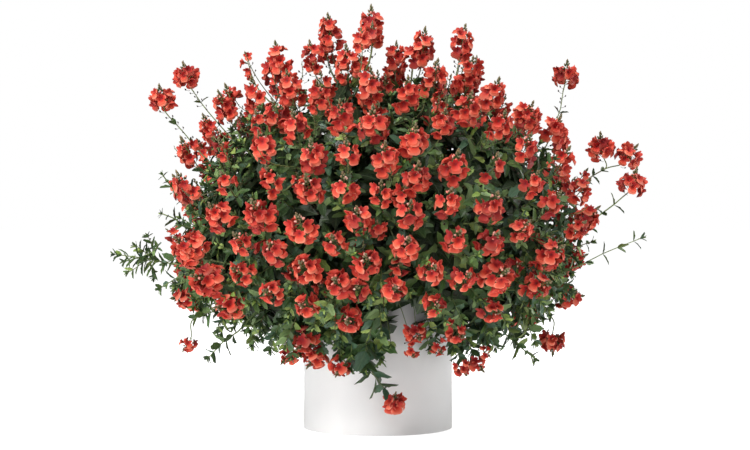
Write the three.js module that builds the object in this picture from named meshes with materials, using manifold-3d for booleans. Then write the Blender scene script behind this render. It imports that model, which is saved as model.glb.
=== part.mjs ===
// A potted twinspur: a round bedding plant with coral racemes over dark leaves, in a plain white pot.
// Millimetres, +Z up, -Y towards the viewer. The origin is on the pot's axis, in the plane it stands on.
import * as THREE from "three";
import { mergeVertices } from "three/addons/utils/BufferGeometryUtils.js";
import Module from "manifold-3d";

const wasm = await Module();
wasm.setup();

// Driving dimensions.
const POT = { radius: 100, height: 188, wall: 4, floor: 6, foot: 3, pad: 18, lip: 1.5, sides: 36 };
const DRAIN = { radius: 7, ring: 50, count: 3, sides: 8 };
const SOIL = { rim: 167, middle: 171, gap: 0.35 };
const CROWN = { radius: 4.5, sides: 4, depth: 24, play: 1.2, holeSides: 6 };
const MOUND = { centre: 250, across: 285, deep: 268, up: 240, down: 152, power: 2.3 };
const CORE = { share: 0.79, bump: 0.07 };
const LEAF = { length: 52, width: 31, rib: 3.5, waist: 0.42, foot: 5, clearance: 4.6, offCore: 0.025, hemLength: 1.25, hemBelow: 175 };
const FLOWER = { radius: 10.4, reach: 12.6, cup: 4.2 };
const RACEME = { knot: 5.2, tip: 13, stalk: 1.5, span: 20, lift: 0.7 };
const SPRAY = { trunk: 2.4, seat: 0.35, offEdge: 0.16 };
const FORK = { share: 0.905, step: 7, steps: 5, perRadian: 12, leastAhead: 0.3, perAhead: 25, leastRoom: 1 };
const SHOOT = { stem: 1.8, node: 5, tip: 9 };
const EYE = new THREE.Vector3(0, -2500, 310);
const MM_PER_CM = 10;

const GREEN = { color: 0x2f4a28, roughness: 0.6, metalness: 0 };
const CORAL = { color: 0xd8503a, roughness: 0.65, metalness: 0 };
const WHITE = { color: 0xf4f4f2, roughness: 0.35, metalness: 0 };
const EARTH = { color: 0x3a2a1e, roughness: 0.95, metalness: 0 };

// The core's rings, from the top down to the hem round the pot: degrees from the top, and corners.
const CORE_RINGS = [
  [14, 6], [27, 12], [40, 16], [53, 19], [66, 22], [79, 23], [92, 23], [105, 22], [117, 20], [129, 18],
];

// The recess over the pot, from the hem inwards: radius, height and corners.
const RECESS_RINGS = [[116, 208, 16], [64, 211, 8]];
const RECESS_TOP = 213;

// A flower's rim: degrees round from the lip, reach as a share of its radius, and how far forward it curls.
const FLOWER_RIM = [
  [27, 1.16, 0.1], [72, 0.72, -0.06], [124, 1.0, 0.04], [236, 1.0, 0.04], [288, 0.72, -0.06], [333, 1.16, 0.1],
];

// How a leaf may stand, best first: turned from straight down, share of its length, and rise off the core.
const LEAF_POSES = [
  [0, 1, 0.7], [0.45, 1, 0.7], [-0.45, 1, 0.7], [0, 0.9, 1.1], [0, 0.9, 0.45], [0.9, 0.9, 0.7], [-0.9, 0.9, 0.7],
  [0.4, 0.75, 1.1], [-0.4, 0.75, 1.1], [0, 0.65, 0.6], [1.3, 0.7, 0.6], [-1.3, 0.7, 0.6], [0, 0.5, 0.8],
];

// Where the racemes show from the front: across, up and size, in cm and as a share of a full raceme.
// A fourth number is how far behind the pot's axis one stands that rises past the mound's edge.
const FRONT_SPRAYS = [
  [[-20.0, 44.6, 1, 1], [-17.6, 49.4, 0.7, -1], [-13.5, 50.4, 0.95, -3]],
  [[-16.6, 45.4, 1, -4], [-16.1, 41.4, 0.8], [-12.0, 46.4, 1], [-8.0, 45.0, 0.9]],
  [[-25.8, 37.6, 1, -8], [-26.1, 32.9, 1.05, -6], [-20.6, 33.2, 0.85], [-20.9, 37.6, 0.85]],
  [[-11.2, 41.0, 1], [-15.6, 38.2, 1], [-14.6, 33.8, 0.95], [-8.8, 36.9, 1.05]],
  [[-9.4, 32.4, 1], [-4.2, 37.4, 0.9], [-4.6, 32.8, 1]],
  [[-9.0, 50.6, 0.85, -4], [-6.6, 54.0, 1, -1], [-4.2, 49.8, 1, -5], [-0.9, 54.9, 1.1, -1]],
  [[-5.0, 42.4, 1], [-0.7, 41.2, 1.2], [-1.0, 46.6, 1.05], [3.9, 45.4, 1]],
  [[2.4, 50.4, 0.9, -2], [6.2, 52.2, 0.95, -5], [7.8, 47.8, 1, -9]],
  [[11.5, 52.6, 0.95, -3], [12.4, 48.2, 1, -6], [15.8, 45.4, 1, -8]],
  [[12.2, 43.4, 1.05], [16.6, 41.0, 1], [20.3, 42.4, 0.9, -6], [20.0, 38.0, 1]],
  [[0.9, 36.6, 1.1], [4.9, 39.0, 1.1], [8.8, 41.4, 0.9], [5.2, 34.0, 1.1]],
  [[10.4, 35.6, 1.1], [15.6, 35.4, 0.95], [20.9, 33.2, 0.9]],
  [[23.9, 40.4, 1, -7], [25.0, 36.2, 1, -8], [27.6, 32.2, 0.95, -5]],
  [[0.4, 32.0, 0.85], [-2.8, 28.4, 1], [4.2, 29.2, 1], [3.9, 24.6, 1]],
  [[9.5, 30.8, 1], [15.4, 30.2, 1.05], [10.6, 25.6, 0.9], [15.4, 25.2, 1.05]],
  [[23.6, 30.4, 1], [19.6, 26.9, 0.8], [23.6, 23.5, 1.1], [27.0, 26.9, 0.8]],
  [[-21.8, 28.9, 1], [-16.2, 29.2, 1.1], [-18.6, 25.2, 0.95]],
  [[-10.4, 27.4, 1.1], [-6.0, 25.0, 0.9], [-14.2, 24.0, 0.95], [-10.0, 21.6, 1.05]],
  [[-26.0, 24.6, 1.1], [-23.6, 19.9, 1.1], [-18.8, 20.9, 0.9], [-20.6, 16.2, 1]],
  [[-5.6, 19.6, 1.05], [-1.6, 22.4, 1.1], [2.2, 18.6, 0.9]],
  [[-14.6, 18.2, 0.9], [-9.9, 16.4, 0.9], [-4.0, 14.4, 1], [-10.2, 11.4, 0.95]],
  [[7.3, 21.2, 0.9], [11.8, 20.2, 0.9], [7.7, 16.4, 0.85]],
  [[16.4, 20.6, 1.15], [21.9, 19.2, 1], [15.6, 15.6, 0.85], [10.8, 12.6, 0.8]],
];

// Shoots that stand out of the mound: the stem's path across, up and behind in cm, its leaf pairs,
// the length and width of a leaf in mm, and the racemes at its end.
const SHOOTS = [
  { name: "left_high_outer", path: [[-22.6, 35.6, 1], [-26.4, 39.8, 2], [-28.6, 42.2, 2]], pairs: 1, leaf: [15, 7],
    racemes: [[-29.4, 44.6, 1, 2]] },
  { name: "left_high_inner", path: [[-19.4, 38.4, 6], [-23.6, 43.0, 6], [-25.6, 45.8, 6]], pairs: 1, leaf: [15, 7],
    racemes: [[-26.5, 48.0, 1, 6]] },
  { name: "right_high", path: [[21.6, 37.4, 6], [24.8, 42.0, 6], [25.6, 45.8, 6]], pairs: 1, leaf: [16, 7],
    racemes: [[26.0, 48.2, 1, 6]] },
  { name: "right_arching_upper", path: [[25.4, 30.8, 5], [29.0, 33.6, 5], [31.4, 35.0, 5]], pairs: 2, leaf: [18, 8],
    racemes: [[30.8, 38.2, 1, 5], [34.6, 36.9, 0.95, 4]] },
  { name: "right_arching_lower", path: [[26.2, 26.4, 0], [31.0, 29.4, 0], [33.2, 31.2, 0]], pairs: 3, leaf: [22, 9],
    racemes: [[34.4, 33.3, 1, 0]] },
  { name: "right_budding", path: [[25.4, 21.4, -3], [30.0, 23.5, -3], [35.2, 25.6, -3]], pairs: 4, leaf: [24, 9] },
  { name: "left_narrow_leaved", path: [[-26.4, 22.0, -2], [-31.0, 22.8, -2], [-35.4, 23.4, -2]], pairs: 5,
    leaf: [24, 8] },
  { name: "left_tips_upper", path: [[-26.2, 30.4, 2], [-28.2, 32.6, 2], [-29.4, 34.2, 2]], pairs: 1, leaf: [18, 8] },
  { name: "left_tips_lower", path: [[-26.0, 26.8, 3], [-27.6, 28.0, 3], [-29.6, 28.8, 3]], pairs: 2, leaf: [20, 9] },
  { name: "low_left_spreading", path: [[-18.8, 15.6, -4], [-22.0, 15.8, -4], [-24.6, 14.8, -4]], pairs: 3,
    leaf: [23, 12], racemes: [[-25.4, 11.4, 0.6, -4]] },
  { name: "low_left_hanging", path: [[-17.6, 14.2, -4], [-20.6, 11.8, -3], [-22.6, 9.6, -3]], pairs: 3,
    leaf: [24, 13] },
  { name: "front_trailing", path: [[-0.6, 15.8, -17.6], [-1.6, 11.8, -15.8], [-0.8, 8.8, -14.4], [0.8, 6.6, -13.6]], pairs: 3,
    leaf: [25, 15], racemes: [[2.4, 4.2, 0.8, -13.4]] },
  { name: "low_right_spreading", path: [[15.6, 14.4, -7], [18.4, 11.6, -6], [20.8, 9.6, -5]], pairs: 3,
    leaf: [24, 12] },
  { name: "low_right_hanging", path: [[18.6, 16.4, -2], [21.6, 16.0, -2], [23.4, 14.8, -2]], pairs: 2,
    leaf: [22, 11], racemes: [[23.4, 11.4, 0.9, -2]] },
];

// The back of the plant: sprays spread evenly over it, with the racemes of each round its axis.
const BACK = { sprays: 12, racemes: 5, highest: 0.95, lowest: -0.5, ring: 52, size: 0.95, spacing: 41 };

/** Numbers from 0 to 1 that are the same at each run. */
function seededRandom(seed) {
  let state = seed >>> 0;
  return () => {
    state = (Math.imul(state, 1664525) + 1013904223) >>> 0;
    return state / 4294967296;
  };
}

/** How far out a point lies, as a share of the mound's size in its direction. */
function moundLevel(p) {
  const rise = p.z - MOUND.centre;
  const tall = rise > 0 ? MOUND.up : MOUND.down;
  const sum = Math.abs(p.x / MOUND.across) ** MOUND.power + Math.abs(p.y / MOUND.deep) ** MOUND.power
    + Math.abs(rise / tall) ** MOUND.power;
  return sum ** (1 / MOUND.power);
}

/** The point of the mound's surface in a direction from its centre, at a share of its size. */
function onMound(direction, share) {
  const unit = direction.clone().normalize();
  const probe = unit.clone().add(moundCentre);
  return unit.multiplyScalar(share / moundLevel(probe)).add(moundCentre);
}

/** Where a raceme stands that shows at this place from the front: on the mound, or past its edge. */
function frontPlace([across, up, , behind = 0]) {
  const seen = new THREE.Vector3(across * MM_PER_CM, 0, up * MM_PER_CM);
  const sight = seen.clone().sub(EYE);
  const at = (share) => EYE.clone().addScaledVector(sight, share);
  let far = 1 + (behind * MM_PER_CM) / -EYE.y;
  let near = 0.85;
  if (moundLevel(at(far)) >= 1) return at(far);
  for (let i = 0; i < 30; i++) {
    const middle = (near + far) / 2;
    if (moundLevel(at(middle)) > 1) near = middle;
    else far = middle;
  }
  return at(far);
}

/** The way a raceme points: out of the mound, and more upwards the higher it stands. */
function racemeAxis(place) {
  const out = place.clone().sub(moundCentre).normalize();
  const lift = RACEME.lift * THREE.MathUtils.clamp(0.6 + (place.z - MOUND.centre) / MOUND.up, 0.1, 1.1);
  return out.add(new THREE.Vector3(0, 0, lift)).normalize();
}

/** A direction square to the one given, as near as can be to a hint. */
function squareTo(along, hint = new THREE.Vector3(0, 0, 1)) {
  const parallel = Math.abs(along.dot(hint)) > 0.97 * hint.length();
  const from = parallel ? new THREE.Vector3(1, 0, 0.3) : hint;
  return from.clone().addScaledVector(along, -along.dot(from)).normalize();
}

/** Points round a circle, anticlockwise as seen from the end that along points to. */
function circle(centre, along, radius, sides, hint) {
  const side = squareTo(along, hint);
  const other = along.clone().cross(side).normalize();
  return Array.from({ length: sides }, (_, i) => {
    const turn = (2 * Math.PI * i) / sides;
    return centre.clone()
      .addScaledVector(side, radius * Math.cos(turn))
      .addScaledVector(other, radius * Math.sin(turn));
  });
}

/** A closed surface that is grown ring by ring, as a list of points and triangles. */
class Growth {
  constructor() {
    this.points = [];
    this.triangles = [];
  }

  /** Adds points and gives their numbers, as an open loop that more can grow from. */
  loop(points) {
    const first = this.points.length;
    this.points.push(...points.map((p) => p.clone()));
    return points.map((_, i) => first + i);
  }

  centreOf(loop) {
    const sum = new THREE.Vector3();
    loop.forEach((i) => sum.add(this.points[i]));
    return sum.divideScalar(loop.length);
  }

  normalOf([a, b, c]) {
    const [p, q, r] = [a, b, c].map((i) => this.points[i]);
    return q.clone().sub(p).cross(r.clone().sub(p)).normalize();
  }

  /** Closes a loop with flat triangles. The loop runs anticlockwise as seen from outside. */
  cap(loop) {
    for (let i = 1; i + 1 < loop.length; i++) this.triangles.push([loop[0], loop[i], loop[i + 1]]);
  }

  /** Closes a loop with a point. */
  fan(loop, apex) {
    const [top] = this.loop([apex]);
    loop.forEach((a, i) => this.triangles.push([a, loop[(i + 1) % loop.length], top]));
  }

  /** The triangles between a loop and the next one. Both run anticlockwise as seen from the far end. */
  band(inner, outer, along) {
    const side = squareTo(along);
    const other = along.clone().cross(side).normalize();
    const turnsOf = (loop) => {
      const centre = this.centreOf(loop);
      return loop.map((i) => {
        const d = this.points[i].clone().sub(centre);
        return Math.atan2(d.dot(other), d.dot(side));
      });
    };
    const wrap = (turn) => Math.atan2(Math.sin(turn), Math.cos(turn));
    const unwound = (turns, start, first) => {
      const out = [first];
      for (let k = 1; k <= turns.length; k++) {
        let turn = turns[(start + k) % turns.length];
        while (turn <= out[k - 1]) turn += 2 * Math.PI;
        out.push(turn);
      }
      return out;
    };
    const innerTurns = turnsOf(inner);
    const outerTurns = turnsOf(outer);
    const away = innerTurns.map((turn) => Math.abs(wrap(turn - outerTurns[0])));
    const start = away.indexOf(Math.min(...away));
    const a = unwound(innerTurns, start, outerTurns[0] + wrap(innerTurns[start] - outerTurns[0]));
    const b = unwound(outerTurns, 0, outerTurns[0]);
    const triangles = [];
    let i = 0;
    let j = 0;
    while (i < inner.length || j < outer.length) {
      const p = inner[(start + i) % inner.length];
      const q = outer[j % outer.length];
      const innerMiddle = i < inner.length ? a[i] + a[i + 1] : Infinity;
      const outerMiddle = j < outer.length ? b[j] + b[j + 1] : Infinity;
      if (innerMiddle <= outerMiddle) {
        i += 1;
        triangles.push([p, inner[(start + i) % inner.length], q]);
      } else {
        j += 1;
        triangles.push([p, outer[j % outer.length], q]);
      }
    }
    return triangles;
  }

  bridge(inner, outer, along) {
    this.triangles.push(...this.band(inner, outer, along));
  }

  /** Grows a round limb from a loop through the places given, and returns the loop at its end. */
  limb(start, places, radius, sides) {
    let loop = start;
    let from = this.centreOf(start);
    places.forEach((place, k) => {
      const beyond = places[k + 1] ?? place.clone().multiplyScalar(2).sub(from);
      const along = beyond.clone().sub(from).normalize();
      const hint = this.points[loop[0]].clone().sub(this.centreOf(loop));
      const ring = this.loop(circle(place, along, radius, sides, hint));
      this.bridge(loop, ring, place.clone().sub(from).normalize());
      loop = ring;
      from = place;
    });
    return loop;
  }

  solid() {
    const geometry = new THREE.BufferGeometry();
    const numbers = this.points.flatMap((p) => p.toArray());
    geometry.setAttribute("position", new THREE.Float32BufferAttribute(numbers, 3));
    geometry.setIndex(this.triangles.flat());
    return geometry;
  }
}

/** A leaf from a loop: it widens to its waist, is raised along its midrib, and ends in a point. */
function growLeaf(body, loop, { base, tip, width, rib, top }) {
  const along = tip.clone().sub(base).normalize();
  const upward = squareTo(along, top);
  const side = upward.clone().cross(along).normalize();
  const waist = base.clone().lerp(tip, LEAF.waist).addScaledVector(upward, 0.05 * base.distanceTo(tip));
  const edge = body.loop([
    waist.clone().addScaledVector(side, width / 2),
    waist.clone().addScaledVector(upward, rib),
    waist.clone().addScaledVector(side, -width / 2),
  ]);
  body.bridge(loop, edge, along);
  body.fan(edge, tip);
}

/** One flower: a funnel from its loop to a rim with a broad lip and two wings, dished in front. */
function growFlower(body, loop, axis, size) {
  const outward = body.normalOf(loop);
  const down = squareTo(outward, axis.clone().negate());
  const side = outward.clone().cross(down).normalize();
  const radius = FLOWER.radius * size;
  const face = body.centreOf(loop).addScaledVector(outward, FLOWER.reach * size);
  const rim = FLOWER_RIM.map(([degrees, share, forward]) => {
    const turn = THREE.MathUtils.degToRad(degrees);
    return face.clone()
      .addScaledVector(down, radius * share * Math.cos(turn))
      .addScaledVector(side, radius * share * Math.sin(turn))
      .addScaledVector(outward, radius * forward);
  });
  const edge = body.loop(rim);
  body.bridge(loop, edge, outward);
  body.fan(edge, face.clone().addScaledVector(outward, -FLOWER.cup * size));
}

/** How many flowers a raceme of this size opens. */
function flowersOf(size) {
  if (size < 0.72) return 3;
  return size < 1.04 ? 4 : 5;
}

/** A raceme: a knot on its stalk's end, with flowers on the sides that face out, and a bud tip on top. */
function growRaceme(body, stalk, { place, axis, size }) {
  const low = place.clone().addScaledVector(axis, -0.6 * RACEME.knot);
  const high = place.clone().addScaledVector(axis, 0.75 * RACEME.knot);
  const out = squareTo(axis, place.clone().sub(moundCentre).setZ(0).normalize());
  const foot = body.loop(circle(low, axis, RACEME.knot, 3, out));
  body.bridge(stalk, foot, axis);
  const head = body.loop(circle(high, axis, RACEME.knot, 3, out.clone().applyAxisAngle(axis, Math.PI / 3)));
  const sides = [0, 1, 2].flatMap((i) => {
    const next = (i + 1) % 3;
    return [[foot[i], foot[next], head[i]], [foot[next], head[next], head[i]]];
  });
  const outOfMound = place.clone().sub(moundCentre).normalize();
  const ranked = sides.sort((p, q) => body.normalOf(q).dot(outOfMound) - body.normalOf(p).dot(outOfMound));
  ranked.forEach((loop, i) => {
    if (i < flowersOf(size)) growFlower(body, loop, axis, size);
    else body.cap(loop);
  });
  body.fan(head, high.clone().addScaledVector(axis, RACEME.tip * size));
}

/** Where the stalk of a raceme ends, below its knot. */
function underOf({ place, axis }) {
  return place.clone().addScaledVector(axis, -2.4 * RACEME.knot);
}

/** The fork of a spray, put where no stalk passes close under another raceme. */
function forkOf(racemes, others) {
  const middle = racemes.reduce((sum, { place }) => sum.add(place), new THREE.Vector3());
  const out = middle.divideScalar(racemes.length).sub(moundCentre).normalize();
  const side = squareTo(out);
  const other = out.clone().cross(side).normalize();
  const near = new THREE.Vector3();
  let best = { room: -Infinity };
  for (let i = -FORK.steps; i <= FORK.steps; i++) {
    for (let j = -FORK.steps; j <= FORK.steps; j++) {
      const offset = side.clone().multiplyScalar(i * FORK.step).addScaledVector(other, j * FORK.step);
      const fork = onMound(onMound(out, FORK.share).sub(moundCentre).add(offset), FORK.share);
      const way = fork.clone().sub(moundCentre).normalize();
      const stalks = racemes.map((raceme) => new THREE.Line3(fork, underOf(raceme)));
      const ways = stalks.map((line) => line.delta(new THREE.Vector3()).normalize());
      const flat = ways.map((a) => a.clone().projectOnPlane(way));
      const spread = [ways, flat].flatMap((list) => list.flatMap((a, m) => list.slice(m + 1)
        .map((b) => a.angleTo(b) * FORK.perRadian)));
      const passing = stalks.flatMap((line, m) => others.concat(racemes.filter((_, n) => n !== m))
        .filter((raceme) => raceme !== racemes[m])
        .map(({ place, size }) => {
          line.closestPointToPoint(place, true, near);
          return near.distanceTo(place) - RACEME.span * size;
        }));
      const ahead = ways.map((a, m) => (a.dot(racemes[m].axis) - FORK.leastAhead) * FORK.perAhead);
      const room = Math.min(...spread, ...passing, ...ahead) - 0.02 * offset.length();
      if (room > best.room) best = { room, fork, out: way };
    }
  }
  return best;
}

/** Leaves out racemes of a spray until each stalk has room. */
function withRoom(racemes, others) {
  if (racemes.length <= 3 || forkOf(racemes, others).room > FORK.leastRoom) return racemes;
  const fewer = racemes.map((_, m) => racemes.filter((_, n) => n !== m));
  const rooms = fewer.map((list) => forkOf(list, others).room);
  return withRoom(fewer[rooms.indexOf(Math.max(...rooms))], others);
}

/** A spray: one stem from its seat to a fork, and from there a stalk to each raceme. */
function spray(seat, fork, out, racemes) {
  const body = new Growth();
  const side = squareTo(out);
  const other = out.clone().cross(side).normalize();
  const arms = racemes
    .map((raceme) => {
      const d = raceme.place.clone().sub(fork);
      return { raceme, turn: Math.atan2(d.dot(other), d.dot(side)) };
    })
    .sort((p, q) => p.turn - q.turn);
  while (arms.length < 3) arms.push({ turn: (arms[arms.length - 1].turn + arms[0].turn) / 2 + Math.PI });
  arms.forEach((arm, i) => {
    while (i > 0 && arm.turn < arms[i - 1].turn) arm.turn += 2 * Math.PI;
  });
  const last = arms[arms.length - 1].turn - 2 * Math.PI;
  const collar = body.loop(arms.map(({ turn }, i) => {
    const corner = (turn + (i === 0 ? last : arms[i - 1].turn)) / 2;
    return fork.clone()
      .addScaledVector(side, 1.4 * SPRAY.trunk * Math.cos(corner))
      .addScaledVector(other, 1.4 * SPRAY.trunk * Math.sin(corner))
      .addScaledVector(out, -2);
  }));
  const foot = body.loop(seat.ring(Math.max(3, arms.length), SPRAY.trunk));
  body.cap([...foot].reverse());
  body.bridge(foot, collar, out);
  const [apex] = body.loop([fork.clone().addScaledVector(out, 2.2)]);
  arms.forEach(({ raceme }, i) => {
    const loop = [collar[i], collar[(i + 1) % arms.length], apex];
    if (!raceme) {
      body.cap(loop);
      return;
    }
    growRaceme(body, body.limb(loop, [underOf(raceme)], RACEME.stalk, 3), raceme);
  });
  return body;
}

/** A single raceme on a short stalk from its seat. */
function singleRaceme(seat, raceme) {
  const body = new Growth();
  const foot = body.loop(seat.ring(3, RACEME.stalk));
  body.cap([...foot].reverse());
  growRaceme(body, foot, raceme);
  return body;
}

/** A shoot: a square stem along a path, with leaves in pairs, and a bud tip or a flat end for a raceme. */
function shoot(seat, places, { pairs, leaf: [length, width], racemes }, random) {
  const body = new Growth();
  const curve = new THREE.CatmullRomCurve3([seat.point, ...places]);
  let loop = body.loop(seat.ring(4, SHOOT.stem));
  body.cap([...loop].reverse());
  loop = body.limb(loop, [curve.getPointAt(0.22)], SHOOT.stem, 4);
  for (let k = 0; k < pairs; k++) {
    const share = pairs === 1 ? 0.6 : 0.38 + (0.47 * k) / (pairs - 1);
    const along = curve.getTangentAt(share);
    const here = curve.getPointAt(share);
    const low = body.limb(loop, [here], SHOOT.stem, 4);
    const hint = body.points[low[0]].clone().sub(here);
    const high = body.loop(circle(here.clone().addScaledVector(along, SHOOT.node), along, SHOOT.stem, 4, hint));
    const faces = [0, 1, 2, 3].map((i) => [low[i], low[(i + 1) % 4], high[(i + 1) % 4], high[i]]);
    faces.forEach((face, i) => {
      if (i % 2 !== (k % 2)) {
        body.cap(face);
        return;
      }
      const base = body.centreOf(face);
      const outward = base.clone().sub(here.clone().addScaledVector(along, SHOOT.node / 2)).normalize();
      const reach = length * (1.1 - (0.35 * k) / pairs) * (0.9 + 0.2 * random());
      const tip = base.clone().addScaledVector(outward, 0.8 * reach).addScaledVector(along, 0.6 * reach);
      growLeaf(body, face, { base, tip, width: width * (1 - (0.25 * k) / pairs), rib: 1.4, top: along });
    });
    loop = high;
  }
  const end = body.limb(loop, [curve.getPointAt(1)], 0.8 * SHOOT.stem, 4);
  const along = curve.getTangentAt(1);
  if (racemes) body.cap(end);
  else body.fan(end, curve.getPointAt(1).addScaledVector(along, SHOOT.tip));
  const tipSeat = seatOn(curve.getPointAt(1), along, along);
  return { body, curve, tipSeat };
}

/** A seat on a flat face: the foot of what stands there keeps a small gap all over. */
function seatOn(point, normal, out) {
  const ring = (sides, radius) => circle(point, out, radius, sides).map((p) => {
    const rise = p.clone().sub(point).dot(normal);
    return p.addScaledVector(out, (SPRAY.seat - rise) / out.dot(normal));
  });
  return { point, ring };
}

/** The foliage's core: its bands of facets from the top to the hem, and the recess that goes over the pot. */
function coreOf(random) {
  const body = new Growth();
  const down = new THREE.Vector3(0, 0, -1);
  const rings = CORE_RINGS.map(([degrees, corners], k) => {
    const polar = THREE.MathUtils.degToRad(degrees);
    return body.loop(Array.from({ length: corners }, (_, i) => {
      const turn = (-2 * Math.PI * (i + 0.5 * (k % 2))) / corners;
      const direction = new THREE.Vector3().setFromSphericalCoords(1, polar, turn);
      const way = new THREE.Vector3(direction.z, direction.x, direction.y);
      return onMound(way, CORE.share + CORE.bump * (random() - 0.5));
    }));
  });
  const recess = RECESS_RINGS.map(([radius, height, corners]) => body.loop(
    circle(new THREE.Vector3(0, 0, height), down, radius, corners, new THREE.Vector3(1, 0, 0)),
  ));
  const [pole] = body.loop([onMound(new THREE.Vector3(0, 0, 1), CORE.share)]);
  const [inside] = body.loop([new THREE.Vector3(0, 0, RECESS_TOP)]);
  const top = rings[0].map((a, i) => [rings[0][(i + 1) % rings[0].length], a, pole]);
  const bands = rings.slice(1).map((ring, k) => body.band(rings[k], ring, down));
  const under = body.band(rings[rings.length - 1], recess[0], down).concat(body.band(recess[0], recess[1], down));
  const middle = recess[1].map((a, i) => [a, recess[1][(i + 1) % recess[1].length], inside]);
  return { body, facets: [top, ...bands].flat(), under, middle };
}

/** The facet that a line into the mound meets, and the seat it gives there. */
function coreSeat(core, from, out) {
  const ray = new THREE.Ray(from, out.clone().negate());
  let best = null;
  core.facets.forEach((facet) => {
    const [a, b, c] = facet.map((i) => core.body.points[i]);
    const hit = ray.intersectTriangle(a, b, c, true, new THREE.Vector3());
    if (hit && (!best || hit.distanceTo(from) < best.point.distanceTo(from))) best = { facet, point: hit };
  });
  best.facet.taken = true;
  const [a, b, c] = best.facet.map((i) => core.body.points[i]);
  const shares = THREE.Triangle.getBarycoord(best.point, a, b, c, new THREE.Vector3());
  const least = Math.min(shares.x, shares.y, shares.z);
  const inwards = Math.max(0, (SPRAY.offEdge - least) / (1 / 3 - least));
  best.point.lerp(core.body.centreOf(best.facet), inwards);
  return seatOn(best.point, core.body.normalOf(best.facet), out);
}

/** Points spread over a leaf's blade and along its raised midrib. */
function bladePoints(leaf) {
  const along = leaf.tip.clone().sub(leaf.base).normalize();
  const upward = squareTo(along, leaf.top);
  const side = upward.clone().cross(along).normalize();
  return [0.12, 0.27, 0.42, 0.57, 0.72, 0.86, 1].flatMap((share) => {
    const wide = share < LEAF.waist ? share / LEAF.waist : (1 - share) / (1 - LEAF.waist);
    const bow = 0.05 * wide * leaf.base.distanceTo(leaf.tip);
    return [-1, -0.66, -0.33, 0, 0.33, 0.66, 1].map((v) => leaf.base.clone()
      .lerp(leaf.tip, share)
      .addScaledVector(side, (v * wide * leaf.width) / 2)
      .addScaledVector(upward, bow + wide * leaf.rib * (0.5 - Math.abs(v))));
  });
}

/** Whether a leaf keeps clear of the core, of the stems, and of the leaves that are there already. */
function isClear(points, stems, leaves) {
  if (points.slice(7).some((p) => moundLevel(p) < CORE.share + LEAF.offCore)) return false;
  const near = new THREE.Vector3();
  const offStems = stems.every(({ line, radius }) => points.every((p) => {
    line.closestPointToPoint(p, true, near);
    return near.distanceTo(p) > radius + LEAF.clearance;
  }));
  return offStems && leaves.every((other) => other[0].distanceTo(points[0]) > 110
    || other.every((q) => points.every((p) => p.distanceTo(q) > LEAF.clearance)));
}

/** Grows a leaf on each facet of the core that has room for one, hanging outwards and down. */
function growFoliage(core, stems, random) {
  const { body, facets, under, middle } = core;
  const leaves = [];
  facets.forEach((facet) => {
    const normal = body.normalOf(facet);
    const centre = body.centreOf(facet);
    const downhill = squareTo(normal, new THREE.Vector3(0, 0, -1));
    const hanging = centre.z < LEAF.hemBelow ? LEAF.hemLength : 1;
    const length = LEAF.length * (0.88 + 0.3 * random()) * hanging;
    const swing = 0.5 * (random() - 0.5);
    const found = (facet.taken ? [] : LEAF_POSES).map(([turn, share, rise]) => {
      const lean = downhill.clone().applyAxisAngle(normal, swing + turn);
      const way = normal.clone().multiplyScalar(rise).addScaledVector(lean, 1 - 0.5 * rise * rise).normalize();
      if (hanging > 1) way.addScaledVector(centre.clone().setZ(0).normalize(), 0.45).normalize();
      const base = centre.clone().addScaledVector(normal, 1.5);
      const tip = base.clone().addScaledVector(way, length * share);
      const leaf = { base, tip, width: LEAF.width * (0.5 + 0.5 * share), rib: LEAF.rib, top: normal };
      return { leaf, points: bladePoints(leaf) };
    }).find(({ points }) => isClear(points, stems, leaves));
    if (!found) {
      body.cap(facet);
      return;
    }
    leaves.push(found.points);
    const hint = body.points[facet[0]].clone().sub(centre);
    const foot = body.loop(circle(found.leaf.base, normal, LEAF.foot, 3, hint));
    body.bridge(facet, foot, normal);
    growLeaf(body, foot, found.leaf);
  });
  under.forEach((facet) => body.cap(facet));
  return middle;
}

/** Flips a closed surface that is inside out, and merges its points. */
function closed(geometry) {
  geometry.deleteAttribute("uv");
  geometry.deleteAttribute("normal");
  const merged = mergeVertices(geometry, 1e-3);
  const p = merged.getAttribute("position");
  const index = Array.from(merged.getIndex().array);
  const at = (i) => new THREE.Vector3().fromBufferAttribute(p, i);
  let volume = 0;
  const triangles = [];
  for (let i = 0; i < index.length; i += 3) {
    const corners = index.slice(i, i + 3);
    if (new Set(corners).size < 3) continue;
    const [a, b, c] = corners.map(at);
    volume += a.dot(b.cross(c));
    triangles.push(corners);
  }
  merged.setIndex((volume < 0 ? triangles.map((t) => t.reverse()) : triangles).flat());
  return merged;
}

function toManifold(geometry) {
  const surface = closed(geometry);
  return new wasm.Manifold(new wasm.Mesh({
    numProp: 3,
    vertProperties: new Float32Array(surface.getAttribute("position").array),
    triVerts: new Uint32Array(surface.getIndex().array),
  }));
}

function fromManifold(solid) {
  const mesh = solid.getMesh();
  const geometry = new THREE.BufferGeometry();
  geometry.setAttribute("position", new THREE.Float32BufferAttribute(mesh.vertProperties, 3));
  geometry.setIndex(Array.from(mesh.triVerts));
  return geometry;
}

/** A body turned round the upright axis from a profile of radius and height. */
function turned(profile) {
  const points = profile.map(([radius, height]) => new THREE.Vector2(radius, height));
  return new THREE.LatheGeometry(points, POT.sides).rotateX(Math.PI / 2);
}

function uprightRod(radius, x, y, low, high, sides) {
  return new THREE.CylinderGeometry(radius, radius, high - low, sides)
    .rotateX(Math.PI / 2)
    .translate(x, y, (low + high) / 2);
}

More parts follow.
